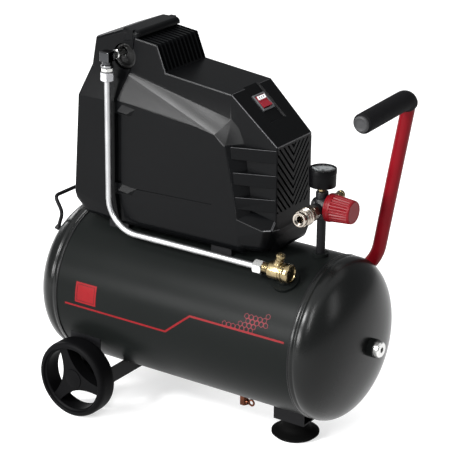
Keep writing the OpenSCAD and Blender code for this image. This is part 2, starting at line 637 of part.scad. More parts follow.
module drain_valve() about_tank() color("#b98552") translate([drain_x, 0, 0]) difference() {
    union() {
        translate([0, 0, drain_z]) cylinder(h = 34, r = 6);
        translate([0, 0, drain_z - 5]) hex(18.9, 13);
        translate([0, 0, drain_z]) along_x() cylinder(h = 8, r = 4.5);
    }
    translate([0, 0, drain_z]) along_x(1) cylinder(h = 12, r = 2.6);
    translate([0, 0, drain_z + 2]) cylinder(h = 40, r = 2.5);
}
module drain_screw() about_tank() color("#a5623c") translate([drain_x, 0, drain_z]) {
    along_x(3) cylinder(h = 6.5, r = 2.55);
    translate([13.5, 0, 0]) rotate([90, 0, 0]) rotate_extrude() translate([4.5, 0]) circle(r = 1.6);
}

tank_shell();
tank_head_left();
tank_head_right();
weld_bosses();
end_plug();
foot_bracket();
rubber_foot();
foot_bolt();
wheel_bracket();
axle_bolts();
wheel_front();
wheel_back();
hub_cap_front();
hub_cap_back();
handle_tube();
handle_grip();
cable_hook();
pump_saddles();
vibration_mounts();
pump_base();
cover_front();
cover_rear();
tube_grommet();
switch_frame();
switch_rocker();
pressure_switch();
outlet_elbow();
tube_nuts();
delivery_tube();
check_valve();
bleed_fitting();
motor_stator();
motor_windings();
motor_end_shield();
crankcase();
shaft_bearings();
motor_rotor();
crank_web();
cooling_fan();
connecting_rod();
piston();
cylinder_barrel();
valve_plate();
cylinder_head();
head_bolts();
intake_filter();
run_capacitor();
stand_pipe();
regulator_body();
gauge_case();
gauge_dial();
gauge_pointer();
gauge_lens();
coupler_body();
coupler_sleeve();
regulator_knob();
safety_valve();
relief_cap();
drain_valve();
drain_screw();
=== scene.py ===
"""Looks of the portable air compressor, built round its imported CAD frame.

Shapes are drawn in millimetres from the tank's centre, with +X towards the tank plug, -Y towards
the quick coupler and +Z up. at() turns such a point into metres in the row frame."""

import math

import bmesh
import bpy
from mathutils import Matrix, Vector


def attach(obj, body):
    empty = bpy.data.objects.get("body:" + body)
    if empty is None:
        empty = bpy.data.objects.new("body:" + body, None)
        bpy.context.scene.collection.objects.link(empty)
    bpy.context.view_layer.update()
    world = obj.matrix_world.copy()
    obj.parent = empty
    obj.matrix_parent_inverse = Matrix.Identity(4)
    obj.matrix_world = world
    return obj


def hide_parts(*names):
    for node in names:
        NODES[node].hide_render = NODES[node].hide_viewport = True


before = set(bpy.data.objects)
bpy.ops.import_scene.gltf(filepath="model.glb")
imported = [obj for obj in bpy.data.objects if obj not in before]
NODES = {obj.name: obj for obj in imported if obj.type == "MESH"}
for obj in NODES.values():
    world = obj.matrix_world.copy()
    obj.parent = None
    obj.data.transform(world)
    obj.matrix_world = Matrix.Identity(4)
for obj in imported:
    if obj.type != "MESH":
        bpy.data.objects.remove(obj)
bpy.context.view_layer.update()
TANK = Vector((-9.0, 0.0, 179.0))
X, Y, Z = Vector((1, 0, 0)), Vector((0, 1, 0)), Vector((0, 0, 1))


def at(x, y, z):
    """A point in the tank's frame, in millimetres, as metres in the row frame."""
    return (Vector((x, y, z)) + TANK) * 0.001


def new_object(name, data):
    obj = bpy.data.objects.new(name, data)
    bpy.context.scene.collection.objects.link(obj)
    return obj


# ---- Camera, floor and lights ----


def set_camera():
    """The photograph's long-lens view from the front right, a little above."""
    az, el, roll = math.radians(33.90), math.radians(20.95), math.radians(0.575)
    back = Vector((math.sin(az) * math.cos(el), -math.cos(az) * math.cos(el), math.sin(el)))
    side = Vector((math.cos(az), math.sin(az), 0))
    up = back.cross(side)
    right = side * math.cos(roll) + up * math.sin(roll)
    top = up * math.cos(roll) - side * math.sin(roll)
    camera = new_object("camera", bpy.data.cameras.new("camera"))
    camera.data.sensor_width = 36.0
    camera.data.lens = 146.32
    turn = Matrix((right, top, back)).transposed().to_4x4()
    stand = (1.46694, -2.16319, 1.30832)
    camera.matrix_world = Matrix.Translation(stand) @ turn
    bpy.context.scene.camera = camera


# Each light's place, the point it is aimed at, its size and its power in watts.
LIGHTS = {
    "key": ((-0.90, -2.24, 2.15), (-0.05, -0.05, 0.45), (0.6, 0.6), 150),
    "strip": ((0.84, -1.36, 1.42), (0.24, -0.09, 0.2), (0.22, 0.9), 22),
    "front": ((-0.87, -2.25, 0.8), (-0.05, 0.0, 0.3), (1.1, 0.5), 75),
    "back": ((-2.4, 0.9, 1.2), (0.0, 0.0, 0.35), (0.9, 0.9), 22),
    "top": ((0.0, 0.0, 5.0), (0.0, 0.0, 0.0), (8.0, 8.0), 300),
    "rim": ((2.2, 0.3, 1.2), (0.2, 0.0, 0.3), (0.5, 1.2), 10),
}


def softbox(name, place, target, size, power):
    light = bpy.data.lights.new(name, "AREA")
    light.shape = "RECTANGLE"
    light.size, light.size_y = size
    light.energy = power
    lamp = new_object(name, light)
    lamp.location = place
    lamp.rotation_euler = (Vector(target) - Vector(place)).to_track_quat("-Z", "Y").to_euler()


def set_studio():
    """Pale sky, soft lights and a paper floor that glows a little, to come out white."""
    world = bpy.data.worlds.new("studio")
    world.use_nodes = True
    give(world.node_tree.nodes["Background"], Color=(0.93, 0.95, 0.97, 1), Strength=0.35)
    bpy.context.scene.world = world
    bpy.context.scene.view_settings.view_transform = "Standard"
    for name, light in LIGHTS.items():
        softbox(name, *light)
    half, below_tyres = 6.0, 0.0004
    mesh = bpy.data.meshes.new("floor")
    corners = [(-half, -half, 0), (half, -half, 0), (half, half, 0), (-half, half, 0)]
    mesh.from_pydata(corners, [], [(0, 1, 2, 3)])
    floor = new_object("floor", mesh)
    floor.location.z = -below_tyres
    paper = surface("floor_paper", (0.50, 0.50, 0.50), 0.9, spread=0.01, patch=1, grain=(40, 0.01))
    give(paper.node_tree.nodes["Principled BSDF"], Emission_Color=(1.0, 1.0, 1.0, 1),
         Emission_Strength=0.6)
    mesh.materials.append(paper)


# ---- Materials ----


def give(node, **values):
    """Sets inputs of a shader node: To_Min= is the input called To Min."""
    for key, value in values.items():
        node.inputs[key.replace("_", " ")].default_value = value
    return node


def surface(name, colour, rough, metal=0.0, spread=0.12, patch=6.0, grain=(900, 0.05),
            rough_spread=0.06, brush=None, glass=0.0, gloss=0.5, edge=None):
    """A finish whose colour and roughness drift in patches, with a fine grain in its bump.

    patch is in cycles a metre, grain is (cycles a metre, strength), and brush stretches the grain
    along an axis, as on turned or brushed metal. edge is a lighter colour on sharp convex edges:
    painted highlight."""
    mat = bpy.data.materials.new(name)
    mat.use_nodes = True
    nodes, links = mat.node_tree.nodes, mat.node_tree.links
    shader = nodes["Principled BSDF"]
    place = nodes.new("ShaderNodeTexCoord")
    drift = give(nodes.new("ShaderNodeTexNoise"), Scale=patch, Detail=3.0)
    links.new(place.outputs["Object"], drift.inputs["Vector"])
    calm, strong = 0.2, 0.8
    ramp = nodes.new("ShaderNodeValToRGB")
    ramp.color_ramp.interpolation = "EASE"
    low, high = ramp.color_ramp.elements
    low.position, high.position = calm, strong
    low.color = (*[c * (1 - spread) for c in colour], 1)
    high.color = (*[min(1.0, c * (1 + spread)) for c in colour], 1)
    links.new(drift.outputs["Fac"], ramp.inputs["Fac"])
    tone = ramp.outputs["Color"]
    if edge:
        tone = painted_edge_highlight(nodes, links, tone, edge)
    links.new(tone, shader.inputs["Base Color"])
    rough_drift = give(nodes.new("ShaderNodeMapRange"), From_Min=calm, From_Max=strong,
                       To_Min=max(0.02, rough - rough_spread),
                       To_Max=min(1.0, rough + rough_spread))
    rough_drift.interpolation_type = "SMOOTHSTEP"
    links.new(drift.outputs["Fac"], rough_drift.inputs["Value"])
    links.new(rough_drift.outputs["Result"], shader.inputs["Roughness"])
    fine = give(nodes.new("ShaderNodeTexNoise"), Scale=grain[0], Detail=3.0)
    at_grain = place.outputs["Object"]
    if brush:
        stretch = give(nodes.new("ShaderNodeMapping"), Scale=brush)
        links.new(at_grain, stretch.inputs["Vector"])
        at_grain = stretch.outputs["Vector"]
    links.new(at_grain, fine.inputs["Vector"])
    bump = give(nodes.new("ShaderNodeBump"), Strength=grain[1], Distance=0.001)
    links.new(fine.outputs["Fac"], bump.inputs["Height"])
    links.new(bump.outputs["Normal"], shader.inputs["Normal"])
    give(shader, Metallic=metal, Specular_IOR_Level=gloss, Transmission_Weight=glass)
    return mat


def painted_edge_highlight(nodes, links, colour, edge):
    """Mixes a lighter colour in on sharp convex edges: painted highlight."""
    shape = nodes.new("ShaderNodeNewGeometry")
    reach = give(nodes.new("ShaderNodeMapRange"), From_Min=0.53, From_Max=0.62)
    links.new(shape.outputs["Pointiness"], reach.inputs["Value"])
    mix = nodes.new("ShaderNodeMix")
    mix.data_type = "RGBA"
    links.new(reach.outputs["Result"], mix.inputs["Factor"])
    links.new(colour, mix.inputs["A"])
    mix.inputs["B"].default_value = (*edge, 1)
    return mix.outputs["Result"]


# A finish for each material slot of the record, and more for details: surface()'s arguments.
LOOKS = {
    "tank_black": dict(colour=(0.0036, 0.0042, 0.0040), rough=0.36, patch=3, grain=(420, 0.035),
        gloss=0.04),
    "head_black": dict(colour=(0.0030, 0.0033, 0.0032), rough=0.26, patch=3, grain=(420, 0.03),
        gloss=0.14),
    "frame_black": dict(colour=(0.004, 0.004, 0.0045), rough=0.42, grain=(600, 0.08), gloss=0.08),
    "plated_steel": dict(colour=(0.55, 0.55, 0.54), rough=0.28, metal=1.0, grain=(700, 0.05)),
    "black_rubber": dict(colour=(0.0012, 0.0012, 0.0012), rough=0.72, grain=(900, 0.2),
        gloss=0.03),
    "foam_grip": dict(colour=(0.0035, 0.0035, 0.004), rough=0.78, grain=(1100, 0.55), gloss=0.05),
    "wheel_plastic": dict(colour=(0.0015, 0.0015, 0.0017), rough=0.5, grain=(1400, 0.05),
        gloss=0.03),
    "red_paint": dict(colour=(0.10, 0.002, 0.0045), rough=0.36, patch=9, grain=(500, 0.05),
        gloss=0.06),
    "base_steel": dict(colour=(0.30, 0.30, 0.31), rough=0.4, metal=1.0, grain=(500, 0.1)),
    "cover_plastic": dict(colour=(0.0014, 0.0015, 0.0017), rough=0.30, patch=5,
        grain=(1500, 0.08), spread=0.1, rough_spread=0.03, gloss=0.05),
    # A lighter, glossier copy of cover_plastic for the sloping shoulders: painted highlight.
    "cover_shoulder_highlight": dict(colour=(0.0020, 0.0021, 0.0023), rough=0.33, patch=12,
        grain=(1500, 0.06), spread=0.1, gloss=0.13),
    # A much lighter copy of cover_plastic for the upper edge strips and recess lips: painted
    # highlight.
    "cover_edge_highlight": dict(colour=(0.045, 0.045, 0.047), rough=0.30, patch=30, spread=0.25,
        grain=(900, 0.1), gloss=0.3),
    "switch_grey": dict(colour=(0.05, 0.052, 0.055), rough=0.35, gloss=0.3),
    "switch_red": dict(colour=(0.14, 0.002, 0.008), rough=0.22, grain=(900, 0.03), gloss=0.3),
    "box_plastic": dict(colour=(0.008, 0.008, 0.009), rough=0.5, grain=(900, 0.1), gloss=0.15),
    # dark_chrome's lighter edge colour is painted highlight on its sharp edges.
    "dark_chrome": dict(colour=(0.035, 0.036, 0.038), rough=0.16, metal=1.0, patch=40,
        grain=(500, 0.04), edge=(0.75, 0.75, 0.76)),
    "nut_steel": dict(colour=(0.42, 0.42, 0.41), rough=0.2, metal=1.0, patch=60,
        grain=(900, 0.06)),
    "tube_alloy": dict(colour=(0.27, 0.272, 0.275), rough=0.36, metal=1.0, patch=25,
        grain=(800, 0.05), rough_spread=0.08),
    "brass": dict(colour=(0.19, 0.15, 0.082), rough=0.25, metal=1.0, patch=50, grain=(900, 0.08),
        spread=0.22),
    "copper_brass": dict(colour=(0.10, 0.035, 0.02), rough=0.34, metal=1.0, patch=50,
        grain=(900, 0.08), spread=0.3),
    "lamination_steel": dict(colour=(0.35, 0.35, 0.36), rough=0.42, metal=1.0,
        brush=(2000, 10, 10), grain=(1, 0.3)),
    "copper_wire": dict(colour=(0.55, 0.22, 0.08), rough=0.35, metal=1.0, grain=(1200, 0.5)),
    "cast_alloy": dict(colour=(0.42, 0.43, 0.44), rough=0.5, metal=1.0, grain=(500, 0.35)),
    "capacitor_white": dict(colour=(0.75, 0.75, 0.72), rough=0.4, grain=(500, 0.05)),
    "gauge_black": dict(colour=(0.0010, 0.0010, 0.0012), rough=0.32, gloss=0.05),
    "dial_white": dict(colour=(0.30, 0.305, 0.31), rough=0.55, spread=0.05, patch=60),
    "dial_ink": dict(colour=(0.02, 0.02, 0.02), rough=0.5, patch=60),
    "lens_clear": dict(colour=(0.95, 0.97, 0.97), rough=0.04, spread=0.01, glass=1.0,
        grain=(200, 0.004), rough_spread=0.02),
    "coupler_nickel": dict(colour=(0.30, 0.27, 0.235), rough=0.2, metal=1.0, patch=70,
        grain=(900, 0.06)),
    "knob_red": dict(colour=(0.10, 0.0018, 0.004), rough=0.36, patch=14, grain=(1100, 0.06),
        gloss=0.12),
    "print_red": dict(colour=(0.10, 0.0015, 0.003), rough=0.35, patch=30, grain=(600, 0.02),
        gloss=0.1),
    "print_white": dict(colour=(0.72, 0.73, 0.73), rough=0.35, patch=30, grain=(600, 0.02)),
    "weld_metal": dict(colour=(0.004, 0.004, 0.0043), rough=0.38, grain=(300, 0.3), gloss=0.1),
    "print_pink": dict(colour=(0.085, 0.006, 0.010), rough=0.4, patch=30, grain=(600, 0.02),
        spread=0.35, gloss=0.1),
    "print_badge_red": dict(colour=(0.11, 0.0015, 0.003), rough=0.35, patch=30, grain=(600, 0.02),
        gloss=0.1),
    "print_badge_line": dict(colour=(0.03, 0.001, 0.0015), rough=0.35, patch=30,
        grain=(600, 0.02), gloss=0.1),
    "cap_grey": dict(colour=(0.015, 0.015, 0.016), rough=0.5, grain=(900, 0.15), gloss=0.2),
    "grommet_rubber": dict(colour=(0.004, 0.004, 0.004), rough=0.38, grain=(900, 0.1), gloss=0.2),
    "nickel_shade": dict(colour=(0.11, 0.09, 0.072), rough=0.3, metal=1.0, patch=70,
        grain=(900, 0.08)),
    "cast_black": dict(colour=(0.003, 0.003, 0.0035), rough=0.4, grain=(420, 0.3), gloss=0.2),
    "steel_shaft": dict(colour=(0.45, 0.45, 0.46), rough=0.25, metal=1.0),
}


# ---- Mesh tools ----


def from_bmesh(name, bm, sharp=35):
    """Closes up a bmesh drawn in tank millimetres as a smooth-shaded object in the row frame."""
    bm.transform(Matrix.Scale(0.001, 4) @ Matrix.Translation(TANK))
    bmesh.ops.recalc_face_normals(bm, faces=bm.faces)
    mesh = bpy.data.meshes.new(name)
    bm.to_mesh(mesh)
    bm.free()
    shade(mesh, sharp)
    return new_object(name, mesh)


def shade(mesh, sharp=35):
    mesh.polygons.foreach_set("use_smooth", [True] * len(mesh.polygons))
    mesh.set_sharp_from_angle(angle=math.radians(sharp))


def settle(piece, slot, finish=None, body="chassis", replaces=None):
    """Gives a piece its finish, material slot and body, and hides the node it stands for."""
    piece.data.materials.clear()
    piece.data.materials.append(FINISH[finish or slot])
    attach(piece, body)
    if replaces:
        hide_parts(replaces)


def lathe(name, profile, origin, axis, segments, slot, finish=None, sharp=30, ribs=None, **rest):
    """A turned piece, drawn and settled in one go."""
    piece = from_bmesh(name, turned(profile, origin, axis, segments, ribs), sharp)
    settle(piece, slot, finish, **rest)


def even_normals(piece):
    """Keeps flat faces flat beside small rounded edges."""
    mod = piece.modifiers.new("normals", "WEIGHTED_NORMAL")
    mod.keep_sharp = True
    mod.weight = 90


def soften(piece, width, angle=30):
    """Breaks the edges that are sharper than an angle in degrees; width is in metres."""
    bevel = piece.modifiers.new("edge", "BEVEL")
    bevel.width, bevel.segments, bevel.limit_method = width, 2, "ANGLE"
    bevel.angle_limit = math.radians(angle)
    even_normals(piece)


def paint_edge_highlights(piece, finish):
    """A second, lighter and shinier finish on the narrow strips that round the upper outer edges:
    painted highlight.
    """
    long, narrow = 0.02, 0.00075
    piece.data.materials.append(FINISH[finish])
    for face in piece.data.polygons:
        rim = [piece.data.vertices[i].co for i in face.vertices]
        length = sum((b - a).length for a, b in zip(rim, rim[1:] + rim[:1]))
        lit = 0.12 < face.normal.z < 0.9 and abs(face.normal.y) < 0.78 and face.normal.x > -0.3
        if lit and length > long and 2 * face.area / length < narrow:
            face.material_index = 1


def paint_shoulder_highlights(piece, finish):
    """A lighter, glossier copy of the cover's finish on the sloping shoulders between the side
    panels and the upper walls: painted highlight.
    """
    foot, inner = at(0, 52, 290).z, at(0, 52, 290).y
    piece.data.materials.append(FINISH[finish])
    for face in piece.data.polygons:
        high = face.center.z > foot and abs(face.center.y) > inner
        if high and 0.1 < face.normal.z < 0.75 and abs(face.normal.y) > 0.6:
            face.material_index = 2


def turned(profile, origin, axis, segments=48, ribs=None):
    """A closed turned solid: profile is (radius, height) pairs from one end to the other.

    ribs is (count, depth, low, high): flutes cut between those heights."""
    bm = bmesh.new()
    rings = []
    for r, h in profile:
        if r < 1e-6:
            rings.append([bm.verts.new((0, 0, h))])
            continue
        ring = []
        for i in range(segments):
            a = 2 * math.pi * i / segments
            cut = 0.0
            if ribs and ribs[2] <= h <= ribs[3]:
                cut = ribs[1] * (0.5 - 0.5 * math.cos(ribs[0] * a)) ** 2
            ring.append(bm.verts.new(((r - cut) * math.cos(a), (r - cut) * math.sin(a), h)))
        rings.append(ring)
    for low, high in zip(rings, rings[1:]):
        bridge(bm, low, high)
    if profile[0] == profile[-1]:
        bmesh.ops.remove_doubles(bm, verts=bm.verts, dist=1e-5)
    else:
        for ring in (rings[0], rings[-1]):
            if len(ring) > 1:
                bm.faces.new(ring)
    return to_axis(bm, origin, axis)


def to_axis(bm, origin, axis):
    """Turns a bmesh drawn along +Z to lie along an axis from an origin."""
    bm.transform(Matrix.Translation(Vector(origin))
                 @ Z.rotation_difference(Vector(axis)).to_matrix().to_4x4())
    return bm


def loft(bm, rings):
    """Skins a row of rings and closes both ends."""
    for low, high in zip(rings, rings[1:]):
        bridge(bm, low, high)
    bm.faces.new(rings[0])
    bm.faces.new(rings[-1])
    return bm


def bridge(bm, low, high):
    """Faces between two rings, either of which may be a single point."""
    if len(low) == 1 and len(high) == 1:
        return
    count = max(len(low), len(high))
    for i in range(count):
        j = (i + 1) % count
        corners = [low[i % len(low)], low[j % len(low)], high[j % len(high)], high[i % len(high)]]
        unique = list(dict.fromkeys(corners))
        bm.faces.new(unique)


def swept(stops, sides=16):
    """A round bar through (point, radius) stops, in millimetres."""
    bm = bmesh.new()
    side, rings = None, []
    for i, (p, r) in enumerate(stops):
        ahead, behind = stops[min(i + 1, len(stops) - 1)][0], stops[max(i - 1, 0)][0]
        along = (ahead - behind).normalized()
        side = along.orthogonal() if side is None else side - along * side.dot(along)
        side.normalize()
        other = along.cross(side)
        rings.append([bm.verts.new(p + (side * math.cos(a) + other * math.sin(a)) * r)
                      for a in (2 * math.pi * k / sides for k in range(sides))])
    return loft(bm, rings)


def bow(start, middle, end, steps):
    """Points along a curve from start to end that leans towards middle."""
    turns = [i / steps for i in range(steps + 1)]
    return [start.lerp(middle, t).lerp(middle.lerp(end, t), t) for t in turns]


def curved(points, radius, steps=8, share=0.48):
    """A line with its corners turned into arcs of about that radius; slight bends stay.

    An arc takes at most that share of the lines on its two sides."""
    out = [Vector(points[0])]
    for before, here, after in zip(points, points[1:], points[2:]):
        p, a, b = Vector(here), Vector(before), Vector(after)
        back, ahead = (a - p).normalized(), (b - p).normalized()
        if back.dot(ahead) < -0.985:
            out.append(p)
            continue
        reach = min(radius, (p - a).length * share, (b - p).length * share)
        out += bow(p + back * reach, p, p + ahead * reach, steps)
    out.append(Vector(points[-1]))
    return out


def hull(corners, radius=2.0, mirror=True):
    """The convex hull of balls at these corners, so its edges come out rounded.

    A corner is (x, y, z) or (x, y, z, its own radius). mirror adds each corner at -Y too."""
    balls = bmesh.new()
    for corner in corners:
        r = corner[3] if len(corner) > 3 else radius
        for side in ((1, -1) if mirror else (1,)):
            bmesh.ops.create_uvsphere(
                balls, u_segments=24, v_segments=12, radius=r,
                matrix=Matrix.Translation((corner[0], side * corner[1], corner[2])))
    bm = bmesh.new()
    for vertex in balls.verts:
        bm.verts.new(vertex.co)
    balls.free()
    bmesh.ops.convex_hull(bm, input=bm.verts[:])
    bmesh.ops.delete(bm, geom=[v for v in bm.verts if not v.link_faces], context="VERTS")
    bmesh.ops.dissolve_limit(bm, angle_limit=math.radians(0.5), verts=bm.verts, edges=bm.edges)
    return bm


def prism(outline, low, high, axis="Y"):
    """An outline of (a, b) points drawn out between low and high along one axis."""
    bm = bmesh.new()

    def corner(a, b, c):
        return {"Y": (a, c, b), "X": (c, a, b), "Z": (a, b, c)}[axis]

    rings = [[bm.verts.new(corner(a, b, c)) for a, b in outline] for c in (low, high)]
    loft(bm, rings)
    bmesh.ops.recalc_face_normals(bm, faces=bm.faces)
    return bm


def box(low, high):
    return prism([(low[0], low[2]), (high[0], low[2]), (high[0], high[2]), (low[0], high[2])],
                 low[1], high[1])


def joined(parts):
    """Several bmeshes as one, for pieces that do not overlap."""
    whole = bmesh.new()
    scrap = bpy.data.meshes.new("scrap")
    for part in parts:
        part.to_mesh(scrap)
        part.free()
        whole.from_mesh(scrap)
    bpy.data.meshes.remove(scrap)
    return whole


def baked(obj):
    """A new mesh of an object with its modifiers applied."""
    return bpy.data.meshes.new_from_object(
        obj.evaluated_get(bpy.context.evaluated_depsgraph_get()))


def carve(base, other, operation):
    """Joins other to base, or cuts it away, and takes other out of the scene."""
    mod = base.modifiers.new("carve", "BOOLEAN")
    mod.operation = operation
    mod.solver = "MANIFOLD"
    mod.object = other
    mesh = baked(base)
    base.modifiers.clear()
    old, base.data = base.data, mesh
    bpy.data.meshes.remove(old)
    spare = other.data
    bpy.data.objects.remove(other)
    bpy.data.meshes.remove(spare)


def sculpt(name, add, cut, sharp=32):
    """One solid from a list of bmeshes to join and a list to cut away."""
    base = from_bmesh(name, add[0])
    for i, part in enumerate(add[1:]):
        carve(base, from_bmesh(f"{name}_add{i}", part), "UNION")
    for i, part in enumerate(cut):
        carve(base, from_bmesh(f"{name}_cut{i}", part), "DIFFERENCE")
    merge_flats(base.data)
    shade(base.data, sharp)
    return base


def merge_flats(mesh):
    """Joins the triangles of each flat panel, so that it shades as one face."""
    bm = bmesh.new()
    bm.from_mesh(mesh)
    bmesh.ops.remove_doubles(bm, verts=bm.verts, dist=2e-6)
    bmesh.ops.dissolve_limit(bm, angle_limit=math.radians(0.8), verts=bm.verts, edges=bm.edges)
    bm.to_mesh(mesh)
    bm.free()


# ---- Covers ----

COVER_W = 66.0
# Where the two covers meet, as (x, z), from above them to below them.
SEAM = [(-97, 470), (-97, 419.5), (-109, 417.5), (-117, 368), (-134, 317), (-138, 185),
        (-128, 123), (-128, 90)]
SLOPE = Matrix.Translation((100.5, 0, 326.3)) @ Matrix.Rotation(math.radians(41.6), 4, "Y")
# Centre of the grommet where the delivery tube leaves the rear cover, and of its port.
GROMMET, PORT = Vector((-128, 0, 386)), Vector((-137, 0, 390))


def seam_block(side, gap):
    """Everything on one side of the line where the two covers meet."""
    far, foot, crest = 320 * side, SEAM[-1][1], SEAM[0][1]
    line = [(x - gap * side, z) for x, z in SEAM]
    return prism(line + [(far, foot), (far, crest)], -150, 150)


def tank_clearance():
    """The covers end a little above the tank, and are open below."""
    return prism(ngon(0, 0, 128.5, 96), -330, 330, "X")


def front_outer():
    """Upper housing, side panels with their sloping shoulders (lightened by painted highlight),
    skirt and louvre tower.

    The housing, panels and tower run on past the seam, where seam_block() cuts them."""
    wall, past = 51.2, -150
    upper = hull([(past, wall, 365), (-62, wall, 371.5), (61.8, wall, 358.2), (137.2, 45.5, 291.4),
                  (138, 45.5, 176), (138, 45.5, 150), (past, wall, 300), (60, wall, 320),
                  (60, wall, 200), (past, 40, 134, 12), (128, 35, 140, 12)], 2.0)
    panel = hull([(past, COVER_W, 321), (-90, COVER_W, 317.3), (-30, COVER_W, 311.6),
                  (15, COVER_W, 305.4), (44, COVER_W, 299.6), (60, 59, 285, 9),
                  (83, COVER_W, 183), (83, COVER_W, 160), (past, 50, 137, 18), (84, 50, 140, 18),
                  (past, 50.9, 369), (64, 50.9, 323), (73, 45.5, 310.5, 7.5),
                  (82, 45, 288, 7.5), (96, 50.9, 200), (98, 50.9, 150)], 2.0)
    skirt = hull([(80, 65, 177, 3), (128, 64, 167.5, 3), (137, 57, 168, 3), (100, 50, 186, 3),
                  (136, 46, 178, 3), (60, 50, 142, 18), (118, 48, 146, 16), (126, 42, 152, 14),
                  (138.5, 40, 166, 3), (138, 30, 158, 3)], 3.0)
    tower = hull([(past, wall, 419.5), (-71, wall, 409.8), (-56, wall, 371.5), (past, wall, 345),
                  (-56, wall, 345)], 2.0)
    ribs = [hull([(rib_left(top), COVER_W - 0.3, top - 1.2), (138.2, 46.6, top + 0.2),
                  (rib_left(top), 43, top - 0.6), (137, 40, top + 0.8),
                  (rib_left(top) + 2, COVER_W - 0.6, top - 17.5), (138.2, 46.6, top - 17.5),
                  (rib_left(top), 43, top - 18.5), (137, 40, top - 18.5)], 0.9)
            for top in (286.6, 248.6, 211.6)]
    return [upper, panel, skirt, tower] + ribs


def rib_left(top):
    """The panel's right edge leans, so lower ribs start further right."""
    return 72.0 + (286.6 - top) * 0.118


def front_inner():
    """The hollow that holds the motor and pump."""
    return [hull([(-160, 47, 360), (56, 46, 350), (130, 40, 286), (132.5, 40, 176),
                  (132.5, 40, 60), (-160, 49, 60)], 1.0),
            hull([(-160, 61.5, 306), (46, 61.5, 286), (60, 61.5, 277), (68, 61.5, 176),
                  (70, 60, 60), (-160, 61, 60)], 1.0)]


def tower_grooves():
    """Cuts between the louvre ribs, over the tower's top and down its front."""
    outline = [(-104, 440), (-45, 440), (-35, 371.5), (-63.5, 374.8), (-77.5, 402.5), (-97, 405.5),
               (-104, 412)]
    pitch, width = 9.45, 5.9
    return [prism(outline, i * pitch - width / 2, i * pitch + width / 2) for i in range(-5, 6)]


def chevron_slots(side):
    """One arm of each V-shaped slot on the end face; the Vs meet a little off centre."""
    meet, pitch, tall, rise = -2.0, 12.6, 5.0, 1.13
    lowest, highest = 191, 288.5
    reach = 39.0 if side > 0 else -45.2
    far = abs(reach - meet) * rise
    cuts = []
    for i in range(13):
        foot = 142 + i * pitch
        arm = [(meet, foot), (reach, foot + far), (reach, foot + far + tall), (meet, foot + tall)]
        clipped = clip(clip(arm, lowest, above=True), highest, above=False)
        if len(clipped) > 2:
            cuts.append(prism(clipped, 136.4, 146, "X"))
    return cuts


def clip(outline, level, above):
    """The part of an outline of (a, b) points above or below a level of b."""
    out = []
    for p, q in zip(outline, outline[1:] + outline[:1]):
        p_in, q_in = (p[1] >= level) == above, (q[1] >= level) == above
        if p_in:
            out.append(p)
        if p_in != q_in:
            t = (level - p[1]) / (q[1] - p[1])
            out.append((p[0] + t * (q[0] - p[0]), level))
    return out


def on_slope(bm):
    bm.transform(SLOPE)
    return bm


def switch_recess():
    """The shallow seat on the slope and the opening for the switch body."""
    seat = on_slope(tapered((-59.5, -15.5, 10.5, 19.0), (-64.5, -19.5, 15.0, 23.0), -2.4, 2.2))
    opening = on_slope(box((-35.3, -13.3, -12), (-8.7, 13.3, 12)))
    return [seat, opening]


def tapered(low, high, bottom, top):
    """A block whose floor and top are rectangles (x first, y first, x last, y last)."""
    bm = bmesh.new()
    for (x0, y0, x1, y1), z in ((low, bottom), (high, top)):
        for x, y in ((x0, y0), (x1, y0), (x1, y1), (x0, y1)):
            bm.verts.new((x, y, z))
    bmesh.ops.convex_hull(bm, input=bm.verts[:])
    return bm


def panel_crease():
    """A fine groove along each side panel."""
    return [prism([(-108, 186.0), (40, 191.6), (40, 192.3), (-108, 187.0)], y, y + 2.0)
            for y in (-68.6, 66.6)]


def grommet_hole(r):
    return turned([(0, 0), (r, 0), (r, 60), (0, 60)], GROMMET - 30 * Y, -Y, 48)


def snap_bosses(level):
    """A wedge that bridges the seam, one on each side; the upper pair leans more."""
    lean = 4 if level > 250 else 3
    return [hull([(-121, s * 66, level + lean), (-95, s * 66, level + lean - 3.5),
                  (-129, s * 70.6, level - 9), (-112, s * 70.6, level - 11),
                  (-129, s * 66, level - 13), (-104, s * 66, level - 14),
                  (-121, s * 60, level), (-96, s * 60, level - 8)], 0.9, mirror=False)
            for s in (-1, 1)]


def snap_recesses():
    """Channel beside the seam, and the pockets under its bosses."""
    cuts = []
    for s in (-1, 1):
        y = sorted((s * 63.5, s * 75))
        cuts.append(prism([(-137, 300), (-137.6, 190), (-125.5, 190), (-124.0, 300)], *y))
        cuts.append(prism([(-137.6, 172), (-131, 128), (-119, 128), (-125.5, 172)], *y))
    return cuts


def add_tab(name, bm):
    """A small moulded catch on a cover."""
    tab = from_bmesh(name, bm, 30)
    even_normals(tab)
    settle(tab, "cover_plastic")


def build_front_cover():
    cover = sculpt(
        "cover_front_shell", front_outer(),
        front_inner() + [seam_block(-1, 0.3), tank_clearance()]
        + [joined(tower_grooves()), joined(chevron_slots(-1)), joined(chevron_slots(1))]
        + switch_recess() + panel_crease() + [grommet_hole(20.1)] + snap_recesses())
    even_normals(cover)
    settle(cover, "cover_plastic", replaces="cover_front")
    # Lighter finishes on the upper edge strips and on the shoulders: painted highlights.
    paint_edge_highlights(cover, "cover_edge_highlight")
    paint_shoulder_highlights(cover, "cover_shoulder_highlight")
    for level in (314, 189):
        for k, boss in enumerate(snap_bosses(level)):
            add_tab(f"snap_boss_{level}_{k}", boss)


